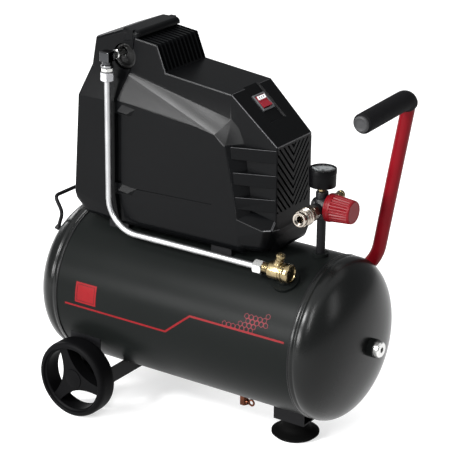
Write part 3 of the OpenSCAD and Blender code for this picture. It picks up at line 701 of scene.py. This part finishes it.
def rear_outer():
    lower = hull([(-100, 65, 150), (-100, 65, 317), (-203.4, 65, 316), (-213.6, 65, 160),
                  (-212, 63, 150), (-186.5, 51.5, 362.5), (-100, 51.5, 366), (-192, 50, 139, 16),
                  (-100, 50, 137, 18), (-204, 46, 141, 8)], 3.0)
    top = hull([(-187, 51.5, 358), (-177, 48.5, 404, 6), (-130, 47.5, 421.5, 7),
                (-107.6, 47.5, 421.3, 7), (-100, 51.5, 345), (-187, 51.5, 345), (-140, 51.5, 408),
                (-104, 51.5, 408)], 3.0)
    return [lower, top]


def rear_inner():
    return [hull([(-183, 61, 60), (-90, 61, 60), (-183, 61, 294), (-90, 61, 310),
                  (-206, 54, 60), (-207, 54, 160), (-198, 50, 310), (-181, 48, 356),
                  (-90, 48, 360)], 1.0),
            hull([(-181, 48, 350), (-173, 47.5, 402), (-131, 47.5, 418), (-80, 47.5, 417),
                  (-90, 48, 340)], 1.0)]


def rear_vents():
    """Two columns of slots on the rear face."""
    return [prism([(s * 5, low), (s * 33, low), (s * 33, low + 5), (s * 5, low + 5)],
                  -235, -200, "X")
            for low in range(190, 280, 12) for s in (-1, 1)]


def build_rear_cover():
    cover = sculpt("cover_rear_shell", rear_outer(),
                   rear_inner() + [seam_block(1, 0.3), tank_clearance(), joined(rear_vents()),
                                   grommet_hole(20.1)] + snap_recesses())
    even_normals(cover)
    settle(cover, "cover_plastic", replaces="cover_rear")
    # A lighter finish on the upper edge strips: painted highlight.
    paint_edge_highlights(cover, "cover_edge_highlight")
    for k, s in enumerate((-1, 1)):
        clip_side = [(-127, 411), (-112, 414), (-120, 427.6), (-111.5, 427.6)]
        corners = [(x, s * y, z) for y in (54.2, 50) for x, z in clip_side]
        add_tab(f"seam_clip_{k}", hull(corners, 0.9, mirror=False))


def build_switch():
    """A thin grey bezel on the recess floor, round a V-topped rocker with a white end."""
    # The two lips take the lighter edge finish: painted highlight along the recess walls.
    lips = (((-25, 21.2, -1.9), (13.6, 21.2, -1.9), (-25, 22.3, -0.7), (13.6, 22.3, -0.7)),
            ((12.2, 20.6, -1.9), (12.2, 4, -1.9), (14.4, 20.6, -0.8), (14.4, 4, -0.8)))
    for k, corners in enumerate(lips):
        lip = from_bmesh(f"recess_lip_{k}", on_slope(hull(corners, 0.5, mirror=False)), 30)
        settle(lip, "cover_plastic", "cover_edge_highlight")
    ring = prism([(-36.2, -2.9), (-36.2, 0.2), (-35.4, 1.1), (-8.6, 1.1), (-7.8, 0.2),
                  (-7.8, -2.9)], -14.5, 14.5)
    window = box((-33.2, -11.4, -9), (-10.8, 11.4, 9))
    bezel = sculpt("switch_bezel", [on_slope(ring)], [on_slope(window)], 30)
    soften(bezel, 0.0006)
    settle(bezel, "switch_grey", replaces="switch_frame")
    dip = [(-32.2, -2.6), (-32.2, 2.2), (-31.6, 2.7), (-27.0, 2.1), (-22.0, 1.1), (-17.0, 1.9),
           (-12.6, 3.0), (-12.0, 2.4), (-12.0, -2.6)]
    cap = from_bmesh("switch_rocker_cap", on_slope(prism(dip, -10.7, 10.7)), 20)
    soften(cap, 0.0005)
    settle(cap, "switch_red", body="rocker", replaces="switch_rocker")
    pad = prism([(-31.4, 2.4), (-31.4, 2.85), (-27.0, 2.3), (-25.6, 2.0), (-25.6, 1.5)], -9.9, 9.9)
    settle(from_bmesh("switch_white_end", on_slope(pad)), "switch_red", "print_white", "rocker")
    marks = joined([prism([(-30.4, 2.6), (-30.4, 2.95), (-27.2, 2.55), (-27.2, 2.2)], y, y + 1.5)
                    for y in (-6.4, -1.4, 3.8)])
    settle(from_bmesh("switch_marks", on_slope(marks)), "switch_red", "dial_ink", "rocker")


# ---- Tank ----

SHELL_R, HEAD_R, HEAD_DEPTH, SHEET = 124.0, 125.0, 54.5, 2.5
# Where each head's skirt starts, and where its dish starts, out from the tank's middle.
SKIRT, DISH = 212.6, 224.5


def dish(shrink, steps):
    """A quarter of a head's ellipse, from its rim to its tip, as (radius, place) pairs."""
    turns = [math.pi / 2 * i / steps for i in range(steps + 1)]
    return [((HEAD_R - shrink) * math.cos(t), DISH + (HEAD_DEPTH - shrink) * math.sin(t))
            for t in turns]


def build_heads():
    """Dished heads whose skirts lap over the shell, each with a swaged line and a weld bead."""
    tip = DISH + HEAD_DEPTH
    outside, inside = dish(0, 40), dish(SHEET, 24)[::-1]
    skirt = [(SHELL_R, SKIRT), (124.9, 213.1), (HEAD_R, 213.9), (HEAD_R, 217.6), (124.2, 218.8),
             (124.2, 220.6), (HEAD_R, 221.8)]
    for side, name in ((-1, "left"), (1, "right")):
        profile = (skirt + outside[:-1] + [(0, tip), (0, tip - SHEET)] + inside[1:-1]
                   + [(HEAD_R - SHEET, DISH), (HEAD_R - SHEET, SKIRT), (SHELL_R, SKIRT)])
        lathe(f"head_{name}_pressing", profile, (0, 0, 0), X * side, 192, "tank_black",
              "head_black", 40, replaces=f"tank_head_{name}")
        bead = from_bmesh(f"head_{name}_weld", weld_bead(124.25, 212.2, side), 80)
        settle(bead, "tank_black", "weld_metal")


def weld_bead(radius, place, side, size=1.15, count=480):
    """A bead right round the tank, with the small ripples of its passes."""
    bm = bmesh.new()
    rings = []
    for i in range(count):
        a = 2 * math.pi * i / count
        ripple = 0.10 * math.sin(a * 150) + 0.08 * math.sin(a * 23 + 1.0)
        ring = []
        for k in range(8):
            b = 2 * math.pi * k / 8
            r = radius + (size + ripple) * math.cos(b)
            ring.append(bm.verts.new((side * (place + (size * 1.3 + ripple) * math.sin(b)),
                                      r * math.cos(a), r * math.sin(a))))
        rings.append(ring)
    for low, high in zip(rings, rings[1:] + rings[:1]):
        bridge(bm, low, high)
    return bm


def on_shell(x, arc_length, radius=SHELL_R):
    """A point on the tank's -Y side: arc_length is up round the shell from the side."""
    a = arc_length / SHELL_R
    return Vector((x, -radius * math.cos(a), radius * math.sin(a)))


PRINT_LOW, PRINT_HIGH = 123.9, 124.12
# Honeycomb rows: arc length up the shell, first cell's x and number of cells.
CELL_ROWS = [(61.8, 168.6, 1), (54.9, 133.8, 5), (48.3, 137.5, 5), (41.8, 125.8, 4),
             (35.7, 99.1, 7)]


def printed(bm, outline, hole):
    """A ring of print on the shell, between two outlines of (x, arc length) points."""
    low, high = [[[bm.verts.new(on_shell(x, s, r)) for x, s in loop] for loop in (outline, hole)]
                 for r in (PRINT_LOW, PRINT_HIGH)]
    for level in (low, high):
        bridge(bm, *level)
    for k in (0, 1):
        bridge(bm, low[k], high[k])


def stripe(points, width, lift=0.0):
    """A printed line of constant width along (x, arc length) points, split so that it wraps."""
    bm = bmesh.new()
    line = []
    for p, q in zip(points, points[1:]):
        p, q = Vector(p), Vector(q)
        count = max(1, int((q - p).length / 3))
        line += [p.lerp(q, i / count) for i in range(count)]
    line.append(Vector(points[-1]))
    rings = []
    for i, p in enumerate(line):
        along = (line[min(i + 1, len(line) - 1)] - line[max(i - 1, 0)]).normalized()
        across = Vector((-along.y, along.x)) * width / 2
        rings.append([bm.verts.new(on_shell(*(p + across * e), r)) for e, r in
                      ((-1, PRINT_LOW), (1, PRINT_LOW), (1, PRINT_HIGH + lift),
                       (-1, PRINT_HIGH + lift))])
    return loft(bm, rings)


def ngon(cx, cy, r, count, first=0.0):
    return [(cx + r * math.cos(first + 2 * math.pi * i / count),
             cy + r * math.sin(first + 2 * math.pi * i / count)) for i in range(count)]


def build_prints():
    """Red stripe, honeycomb cells and a plain red badge; no lettering."""
    line = stripe([(-195, -2.8), (-4, -2.8), (38, 31.6), (203, 31.6)], 3.0)
    settle(from_bmesh("print_stripe", line), "tank_black", "print_red")
    cells, pitch = bmesh.new(), 7.65
    for height, first, count in CELL_ROWS:
        for k in range(count):
            outer, inner = (ngon(first + pitch * k, height, r, 6, math.pi / 6) for r in (4.3, 3.45))
            printed(cells, outer, inner)
    settle(from_bmesh("print_cells", cells), "tank_black", "print_pink")
    x, s, w, h = -155.5, 20.0, 16.4, 12.8
    badge = printed_panel(x, s, 19.8, 16.2)
    settle(from_bmesh("print_badge", badge), "tank_black", "print_badge_red")
    line = stripe([(x - w, s - h), (x + w, s - h), (x + w, s + h), (x - w, s + h), (x - w, s - h)],
                  0.8, 0.12)
    settle(from_bmesh("print_badge_line", line), "tank_black", "print_badge_line")


def printed_panel(cx, cs, half_x, half_s, steps=12):
    """A rectangular patch bent to the shell: strips across, joined into one closed sheet."""
    bm = bmesh.new()
    rings = []
    for i in range(steps + 1):
        s = cs - half_s + 2 * half_s * i / steps
        rings.append([bm.verts.new(on_shell(x, s, r)) for x, r in
                      ((cx - half_x, PRINT_LOW), (cx + half_x, PRINT_LOW),
                       (cx + half_x, PRINT_HIGH), (cx - half_x, PRINT_HIGH))])
    return loft(bm, rings)


# ---- Wheels ----

# The wheels' axis, how far out their inner faces are, and the front wheel's first spoke.
WHEEL, INNER_FACE, FIRST_SPOKE = Vector((-165, 0, -117)), 117.0, 110.7


def wheel_star(turn):
    """Outline of the three spokes: each side is one long curve from rim to rim past the hub."""
    half_width, reach, pull = 7.6, 50.6, 7.0
    out = []
    for k in range(3):
        spoke, following = turn + 120 * k, turn + 120 * (k + 1)
        off = math.degrees(math.asin(half_width / reach))
        out += bow(polar(reach, spoke + off), polar(pull, spoke + 60),
                   polar(reach, following - off), 16)
    return out


def polar(r, degrees):
    a = math.radians(degrees)
    return Vector((r * math.cos(a), r * math.sin(a)))


def build_wheels():
    tyre = [(49.5, 4.0), (49.5, 30.5), (50.4, 31.6), (52.4, 32.4), (53.4, 35.2), (54.6, 36.0),
            (58.6, 35.2), (61.0, 32.6), (62.0, 28.0), (62.0, 8.0), (61.0, 3.4), (58.6, 0.8),
            (54.6, 0.0), (51.5, 0.6), (49.5, 4.0)]
    smooth = [tuple(p) for p in curved(tyre, 2.2, 3, 0.45)]
    for side, name in ((-1, "front"), (1, "back")):
        origin = WHEEL + Y * side * INNER_FACE
        ring = turned(smooth, origin, Y * side, 144)
        star = to_axis(prism(wheel_star(-side * FIRST_SPOKE), 7.0, 29.6, "Z"), origin, Y * side)
        hub = turned([(0, 2), (19, 2), (19, 20), (0, 20)], origin, Y * side, 64)
        axle = turned([(0, -1), (6.05, -1), (6.05, 40), (0, 40)], origin, Y * side, 48)
        well = turned([(0, 28), (12, 28), (12, 40), (0, 40)], origin, Y * side, 48)
        wheel = sculpt(f"wheel_{name}_moulding", [ring, star, hub], [axle, well], 28)
        soften(wheel, 0.0009, 40)
        settle(wheel, "wheel_plastic", body=f"wheel_{name}_body", replaces=f"wheel_{name}")
        cap = [(0, 29.0), (10, 29.0), (10, 28.4), (11.9, 28.4), (11.9, 29.6), (15.6, 29.6),
               (15.9, 30.0), (15.7, 30.6), (13.9, 30.9), (13.2, 30.7), (12.6, 30.9), (0, 31.2)]
        lathe(f"hub_cap_{name}_disc", cap, origin, Y * side, 64, "wheel_plastic",
              body=f"wheel_{name}_body", replaces=f"hub_cap_{name}")


# ---- Handle, hook and grommet ----


HANDLE_TOP, HANDLE_LEAN = Vector((269.5, 103, 354.5)), math.radians(9.6)


def handle_point(x, y, z):
    """A point in the handle's own leaning frame, which starts at its top bend."""
    c, s = math.cos(HANDLE_LEAN), math.sin(HANDLE_LEAN)
    return Vector((HANDLE_TOP.x + x * c + z * s, HANDLE_TOP.y + y, HANDLE_TOP.z - x * s + z * c))


def grip_line(first, reach):
    """Points from an angle of the handle's bend out along the straight grip."""
    bend, dip = 22.0, 2.5
    points = []
    for i in range(15):
        a = math.radians(first + (90 + dip - first) * i / 14)
        points.append(handle_point(0, -bend + bend * math.cos(a), -bend + bend * math.sin(a)))
    end = math.radians(90 + dip)
    tip = points[-1]
    along = (handle_point(0, -math.sin(end), math.cos(end)) - handle_point(0, 0, 0)).normalized()
    for i in range(1, 25):
        points.append(tip + along * reach * i / 24)
    return points, along


def build_grip():
    points, along = grip_line(32.5, 114.0)
    stops = shaped_ends(points, [(0, 13.2), (1.2, 14.6), (3, 15.0)], 15.0,
                        [(2.4, 15.0), (1.0, 14.6), (0.0, 13.4)])
    grip = from_bmesh("grip_foam", swept(stops, 48), 50)
    settle(grip, "foam_grip", replaces="handle_grip")
    tip = points[-1]
    plug = [(0, -4.5), (12.0, -4.5), (12.0, 2.4), (11.2, 3.4), (9.4, 3.8), (8.6, 3.2), (4, 3.4),
            (0, 3.6)]
    lathe("grip_end_cap", plug, tip, along, 48, "black_rubber", "cap_grey", 40)


def shaped_ends(line, start, radius, end):
    """Stops for a bar whose ends are shaped by (distance from the end, radius) pairs."""
    clear = 4.0
    inner = [p for p in line if (p - line[0]).length > clear and (p - line[-1]).length > clear]
    first, last = (line[1] - line[0]).normalized(), (line[-1] - line[-2]).normalized()
    return ([(line[0] + first * d, r) for d, r in start] + [(p, radius) for p in inner]
            + [(line[-1] - last * d, r) for d, r in end])


def build_hook():
    wire = curved([(-260.6, -57, 83), (-250.5, -57, 113), (-265, -57, 138), (-265, 57, 138),
                   (-250.5, 57, 113), (-260.6, 57, 83)], 9)
    hook = from_bmesh("hook_wire", swept([(p, 3.0) for p in wire]), 60)
    settle(hook, "frame_black", replaces="cable_hook")
    mound = [(0, -2), (5.6, -2), (5.2, 0), (3.6, 3.2), (3, 5), (0, 5)]
    for k, s in enumerate((-1, 1)):
        lathe(f"hook_weld_{k}", mound, (-259.5, s * 57, 86.5), (0.31, 0, 0.95), 24, "frame_black",
              "weld_metal", 35)


def build_grommet():
    disc = turned([(0, 42.4), (17.9, 42.4), (17.9, 45.7), (19.7, 45.7), (20.0, 46.3), (20.0, 48.8),
                   (19.0, 50.1), (17.4, 50.5), (15.6, 49.9), (14.4, 48.0), (13.8, 46.0),
                   (12.5, 44.8), (0, 44.6)], GROMMET, -Y, 64)
    hole = turned([(0, 40), (7.6, 40), (7.6, 60), (0, 60)], PORT, -Y, 40)
    grommet = sculpt("grommet_ring", [disc], [hole], 50)
    settle(grommet, "black_rubber", "grommet_rubber", replaces="tube_grommet")


# ---- Delivery line ----


def hex_nut(name, flats, low, high, origin, axis, bore, chamfer=1.2):
    """A nut or hexagon section with turned chamfers on both ends."""
    corner = flats / math.sqrt(3)
    six = to_axis(prism(ngon(0, 0, corner, 6), low, high, "Z"), origin, axis)
    body = from_bmesh(name, six)
    lathe = [(0, low), (flats / 2 - 0.2, low), (corner + 0.2, low + chamfer),
             (corner + 0.2, high - chamfer), (flats / 2 - 0.2, high), (0, high)]
    carve(body, from_bmesh(name + "_lathe", turned(lathe, origin, axis, 64)), "INTERSECT")
    if bore:
        hole = [(0, low - 5), (bore, low - 5), (bore, high + 5), (0, high + 5)]
        tool = turned(hole, origin, axis)
        carve(body, from_bmesh(name + "_bore", tool), "DIFFERENCE")
    shade(body.data, 25)
    return body


def thread(low, high, radius, pitch=1.2, depth=0.55):
    """Profile points of a run of thread crests."""
    out, h = [], low
    while h < high - 1e-6:
        out += [(radius - depth, h), (radius, h + pitch * 0.35), (radius, h + pitch * 0.55)]
        h += pitch
    return out + [(radius - depth, high)]


def build_delivery():
    top = Vector((-140, -80, 390))
    block = hull([(x, y, z) for z in (384, 396.4) for y in (-86.9, -73.1)
                  for x in (-146.9, -133.1)], 1.6, mirror=False)
    pipe = [(0, 36), (6, 36), (6, 60), (7.2, 60.6), (7.2, 63.4), (6, 64), (6, 70), (7.4, 70.4),
            (7.4, 74.4), (0, 74.4)]
    collar = turned([(0, -24), (6.9, -24), (7.5, -23.2), (7.5, -17.4), (9.2, -16.6), (9.6, -15.6),
                     (9.6, -13.4), (9.1, -12.6), (7.8, -12.0), (7.8, -8.6), (8.3, -7.6), (8.3, -5),
                     (0, -5)], top, Z, 48)
    elbow = sculpt("elbow_casting", [block, collar], [], 30)
    even_normals(elbow)
    settle(elbow, "dark_chrome", replaces="outlet_elbow")
    lathe("elbow_pipe", pipe, PORT, -Y, 40, "dark_chrome", "nut_steel", 40)
    settle(hex_nut("elbow_collar", 16.5, -22.6, -17.2, top, Z, 7.4, 0.9), "nut_steel")
    # The upper nut takes the darker base_steel while the alike lower nut takes nut_steel: painted
    # shade.
    settle(hex_nut("tube_nut_upper", 19, -37, -24, top, Z, 5.05, 1.5), "nut_steel", "base_steel",
           replaces="tube_nuts")
    settle(hex_nut("tube_nut_lower", 19, 126, 141, (0, -80, 119), X, 5.05, 1.6), "nut_steel")


def build_check_valve():
    casting = [(10.2, 151.0), (11.6, 151.6), (12.8, 153.2), (13.0, 154.2), (13.0, 170.4),
               (12.2, 171.0), (12.2, 172.2), (13.4, 172.8), (13.6, 173.6), (13.6, 175.4),
               (12.4, 176.2), (12.4, 177.4), (13.8, 178.2), (14.2, 179.0), (14.2, 186.0),
               (13.6, 187.4), (12.2, 188.2), (11.2, 188.0), (10.6, 186.6), (8, 186.2), (0, 186.4)]
    profile = [(0, 141), (7.4, 141)] + thread(141.4, 150.6, 8.0) + casting
    body = turned(profile, (0, -80, 120.5), X, 72)
    lean = math.radians(33.6)
    out = Vector((0, -math.sin(lean), math.cos(lean)))
    neck = turned([(0, 121), (8, 121), (8, 132.4), (10.4, 133.0), (10.6, 133.8), (10.6, 136.8),
                   (10.0, 137.6), (10.0, 145), (0, 145)], (172, 0, 0), out, 64)
    valve = sculpt("check_valve_casting", [body, neck], [], 30)
    settle(valve, "brass", replaces="check_valve")
    tilt = Vector((0.30, -0.05, 0.95)).normalized()
    foot = Vector((165.5, -80, 130.5))
    stub = [(0, -4), (8.2, -4), (8.0, 2.0), (6.6, 3.4), (6.4, 6.4), (6.9, 6.9), (6.9, 8.2),
            (5.6, 8.8), (5.4, 13.0), (0, 13.4)]
    lathe("bleed_stub", stub, foot, tilt, 48, "brass", replaces="bleed_fitting")
    cap = [(0, 12.6), (5.6, 12.6), (6.6, 13.4), (6.8, 14.2), (6.8, 16.4), (6.2, 17.4), (4.4, 18.0),
           (2.2, 18.0), (2.0, 16.8), (0, 16.8)]
    lathe("bleed_cap", cap, foot, tilt, 96, "brass", ribs=(18, 0.55, 13.3, 17.0))


# ---- Regulator, gauge and outlets ----

# The regulator's middle, the foot of its column's axis, and the coupler's axis.
REG, STAND, COUPLER = Vector((188, 0, 202)), Vector((188, 0, 0)), Vector((188, 0, 198))


def build_knob():
    profile = [(14, 13), (20.2, 13), (21.1, 13.4), (21.5, 14.2), (21.5, 15.4), (21.0, 16.0),
               (21.4, 16.6), (21.5, 17.4), (21.1, 18.6), (20.6, 19.2), (20.4, 20.2), (20.3, 21.4),
               (20.2, 22.2), (20.15, 22.6), (19.0, 36.0), (17.8, 50.2), (17.7, 50.8), (17.6, 51.4),
               (17.2, 53.0), (16.4, 54.0), (15.4, 54.4), (14.6, 54.3), (14.0, 53.9), (0, 53.9),
               (0, 30), (14, 30), (14, 13)]
    lathe("knob_moulding", profile, REG, X, 288, "knob_red", ribs=(24, 1.5, 22.5, 50.5),
          body="knob", replaces="regulator_knob")


def build_gauge():
    cup = [(0, 231.9), (6, 231.9), (17.8, 232.0), (19.4, 232.5), (20.0, 233.8), (20.0, 252.0),
           (20.5, 252.6), (20.5, 258.6), (20.1, 259.6), (19.4, 260.0), (19.0, 259.4),
           (18.95, 236.2), (0, 236.2)]
    lathe("gauge_cup", cup, STAND, Z, 96, "gauge_black", None, 35, replaces="gauge_case")
    settle(hex_nut("gauge_stem", 9.4, 224.1, 231.9, STAND, Z, 0, 0.7), "gauge_black", "brass")
    dial = [(0, 252.6), (18.6, 252.6), (18.6, 254.0), (0, 254.0)]
    lathe("gauge_face", dial, STAND, Z, 96, "dial_white", None, 35, replaces="gauge_dial")
    marks = bmesh.new()
    for i in range(41):
        near, half = (14.2, 0.32) if i % 5 == 0 else (15.6, 0.16)
        tick(marks, dial_angle(i / 40), near, 17.3, half, 254.0)
    settle(from_bmesh("gauge_ticks", marks), "dial_white", "dial_ink")
    for i in range(0, 9, 2):
        number(f"gauge_number_{i}", str(i * 20), 11.3, dial_angle(i / 8))
    glass = [(0, 257.0), (18.9, 257.0), (18.9, 257.9), (17.6, 258.6), (12, 259.0), (0, 259.3)]
    lathe("gauge_glass", glass, STAND, Z, 96, "lens_clear", replaces="gauge_lens")


def dial_angle(share):
    """The pointer's direction at a share of the dial's 270 degrees, clockwise from lower left."""
    return math.radians(225 - 270 * share)


def tick(bm, angle, near, far, half, level):
    along = Vector((math.cos(angle), math.sin(angle), 0))
    across = Vector((-along.y, along.x, 0)) * half
    corners = [along * near - across, along * near + across, along * far + across,
               along * far - across]
    loft(bm, [[bm.verts.new(c + STAND + Z * (level + h)) for c in corners] for h in (-0.05, 0.12)])


def number(name, words, radius, angle):
    """A figure on the dial, upright as seen from the coupler side."""
    curve = bpy.data.curves.new(name, "FONT")
    curve.body = words
    curve.size, curve.extrude = 4.2, 0.06
    curve.align_x, curve.align_y = "CENTER", "CENTER"
    curve.resolution_u = 3
    drawn = new_object(name + "_curve", curve)
    mesh, bm = baked(drawn), bmesh.new()
    bpy.data.objects.remove(drawn)
    bm.from_mesh(mesh)
    bpy.data.meshes.remove(mesh)
    bmesh.ops.remove_doubles(bm, verts=bm.verts, dist=1e-4)
    out = Vector((radius * math.cos(angle), radius * math.sin(angle), 254.04))
    bm.transform(Matrix.Translation(STAND + out))
    settle(from_bmesh(name, bm), "dial_white", "dial_ink")


def build_coupler():
    core = [(0, 9), (6.5, 9), (6.5, 20.5), (9.4, 20.5), (9.4, 58.0), (8.6, 58.4), (8.6, 58.6),
            (10.0, 58.6), (10.9, 59.4), (10.9, 62.0), (10.2, 62.8), (8.6, 63.0), (7.4, 62.4),
            (7.2, 61.0), (6.4, 60.6), (5.5, 60.2), (5.5, 34), (0, 34)]
    lathe("coupler_core", core, COUPLER, -Y, 64, "coupler_nickel", replaces="coupler_body")
    settle(hex_nut("coupler_hex", 20.5, 21.0, 31.6, COUPLER, -Y, 9.3, 1.6), "coupler_nickel",
           "nickel_shade")
    collar = [(9.45, 32.0), (11.2, 32.1), (11.4, 32.4), (11.4, 34.3), (11.0, 34.7), (9.45, 34.8),
              (9.45, 32.0)]
    lathe("coupler_collar", collar, COUPLER, -Y, 120, "coupler_nickel", "nickel_shade",
          ribs=(40, 0.5, 32.3, 34.4))
    rib = [(13.1, 0), (13.4, 0.6), (13.4, 2.0), (13.1, 2.6), (12.0, 3.2), (11.9, 5.4)]
    grips = [(r, low + h) for low in (41.2, 47.2, 53.2) for r, h in rib]
    sleeve = ([(9.55, 39.2), (11.8, 39.2), (12.2, 39.6), (12.3, 40.6)] + grips[:-2]
              + [(12.2, 56.6), (11.6, 57.4), (9.55, 57.5), (9.55, 39.2)])
    lathe("coupler_ring_sleeve", sleeve, COUPLER, -Y, 96, "coupler_nickel", body="sleeve",
          replaces="coupler_sleeve")


def build_relief():
    base = REG + Z
    settle(hex_nut("safety_valve_hex", 14, -34, -24.2, base, -Y, 0, 1.0), "brass",
           replaces="safety_valve")
    barrel = [(2.1, 33.8), (5.8, 33.8), (6.0, 34.4), (6.0, 38.0), (5.4, 38.5), (5.4, 39.5),
              (6.0, 40.0), (6.0, 49.2), (5.4, 50.0), (2.1, 50.0), (2.1, 33.8)]
    lathe("safety_valve_barrel", barrel, base, Y, 48, "brass")
    nose = [(0, 15), (4.9, 15), (4.9, 24.4), (0, 24.4)]
    lathe("safety_valve_nose", nose, base, Y, 32, "brass")
    cap = [(0, 38), (1.95, 38), (1.95, 50.6), (5.8, 50.6), (6.8, 51.2), (7.0, 52.0), (7.0, 54.6),
           (6.6, 55.4), (5.6, 56.0), (2.4, 56.0), (2.0, 55.2), (0, 55.2)]
    lathe("relief_cap_knurl", cap, base, Y, 96, "brass", ribs=(24, 0.45, 51.9, 54.7),
          body="relief_body", replaces="relief_cap")


def build_regulator():
    """Cast block with its bosses, gauge boss and the thread under the knob."""
    column = turned([(0, 184), (9.4, 184), (10.2, 184.8), (10.2, 190.4), (11.0, 191.2), (11.5, 193),
                     (11.5, 211), (10.6, 213.4), (8.9, 214), (8.9, 215.4), (9.4, 216.0),
                     (9.4, 222.8), (8.8, 223.8), (0, 223.8)], STAND, Z, 48)
    outlet = turned([(0, 0), (11, 0), (11, 18.6), (10.4, 19.8), (0, 20)], COUPLER, -Y, 48)
    relief = turned([(0, 0), (9.5, 0), (9.5, 23), (8.9, 24), (0, 24)], REG, Y, 48)
    knob_side = turned([(0, 0), (14, 0), (14, 10.8), (13.2, 12), (10, 12.2), (10, 22.6), (0, 22.6)],
                       REG, X, 64)
    nose = turned([(0, 0), (10.4, 0), (10.8, 9), (9.6, 13.2), (7.4, 14.6), (0, 15)], REG, -X, 48)
    block = sculpt("regulator_casting", [column, outlet, relief, knob_side, nose], [], 32)
    even_normals(block)
    settle(block, "frame_black", "cast_black", replaces="regulator_body")


# ---- CAD nodes that stay ----

OTHER_FINISH = {"drain_valve": "copper_brass", "drain_screw": "copper_brass",
                "shaft_bearings": "steel_shaft"}
# Long round shapes with no edges to break, and the big covers, which new pieces replace.
PLAIN_EDGES = {"tank_shell", "delivery_tube", "handle_tube", "cover_front", "cover_rear"}


def dress_nodes():
    """Finishes for the CAD nodes that stay, each with its edges slightly broken."""
    for node, obj in NODES.items():
        slot = obj.material_slots[0].material.name
        obj.data.materials.clear()
        obj.data.materials.append(FINISH[OTHER_FINISH.get(node, slot)])
        if node not in PLAIN_EDGES:
            obj.modifiers.new("weld", "WELD").merge_threshold = 0.00001
            soften(obj, 0.0004, 35)


FINISH = {name: surface(name, **look) for name, look in LOOKS.items()}
set_camera()
set_studio()
dress_nodes()
for build in (build_front_cover, build_rear_cover, build_switch, build_heads, build_prints,
              build_wheels, build_grip, build_hook, build_grommet, build_delivery,
              build_check_valve, build_regulator, build_knob, build_gauge, build_coupler,
              build_relief):
    build()
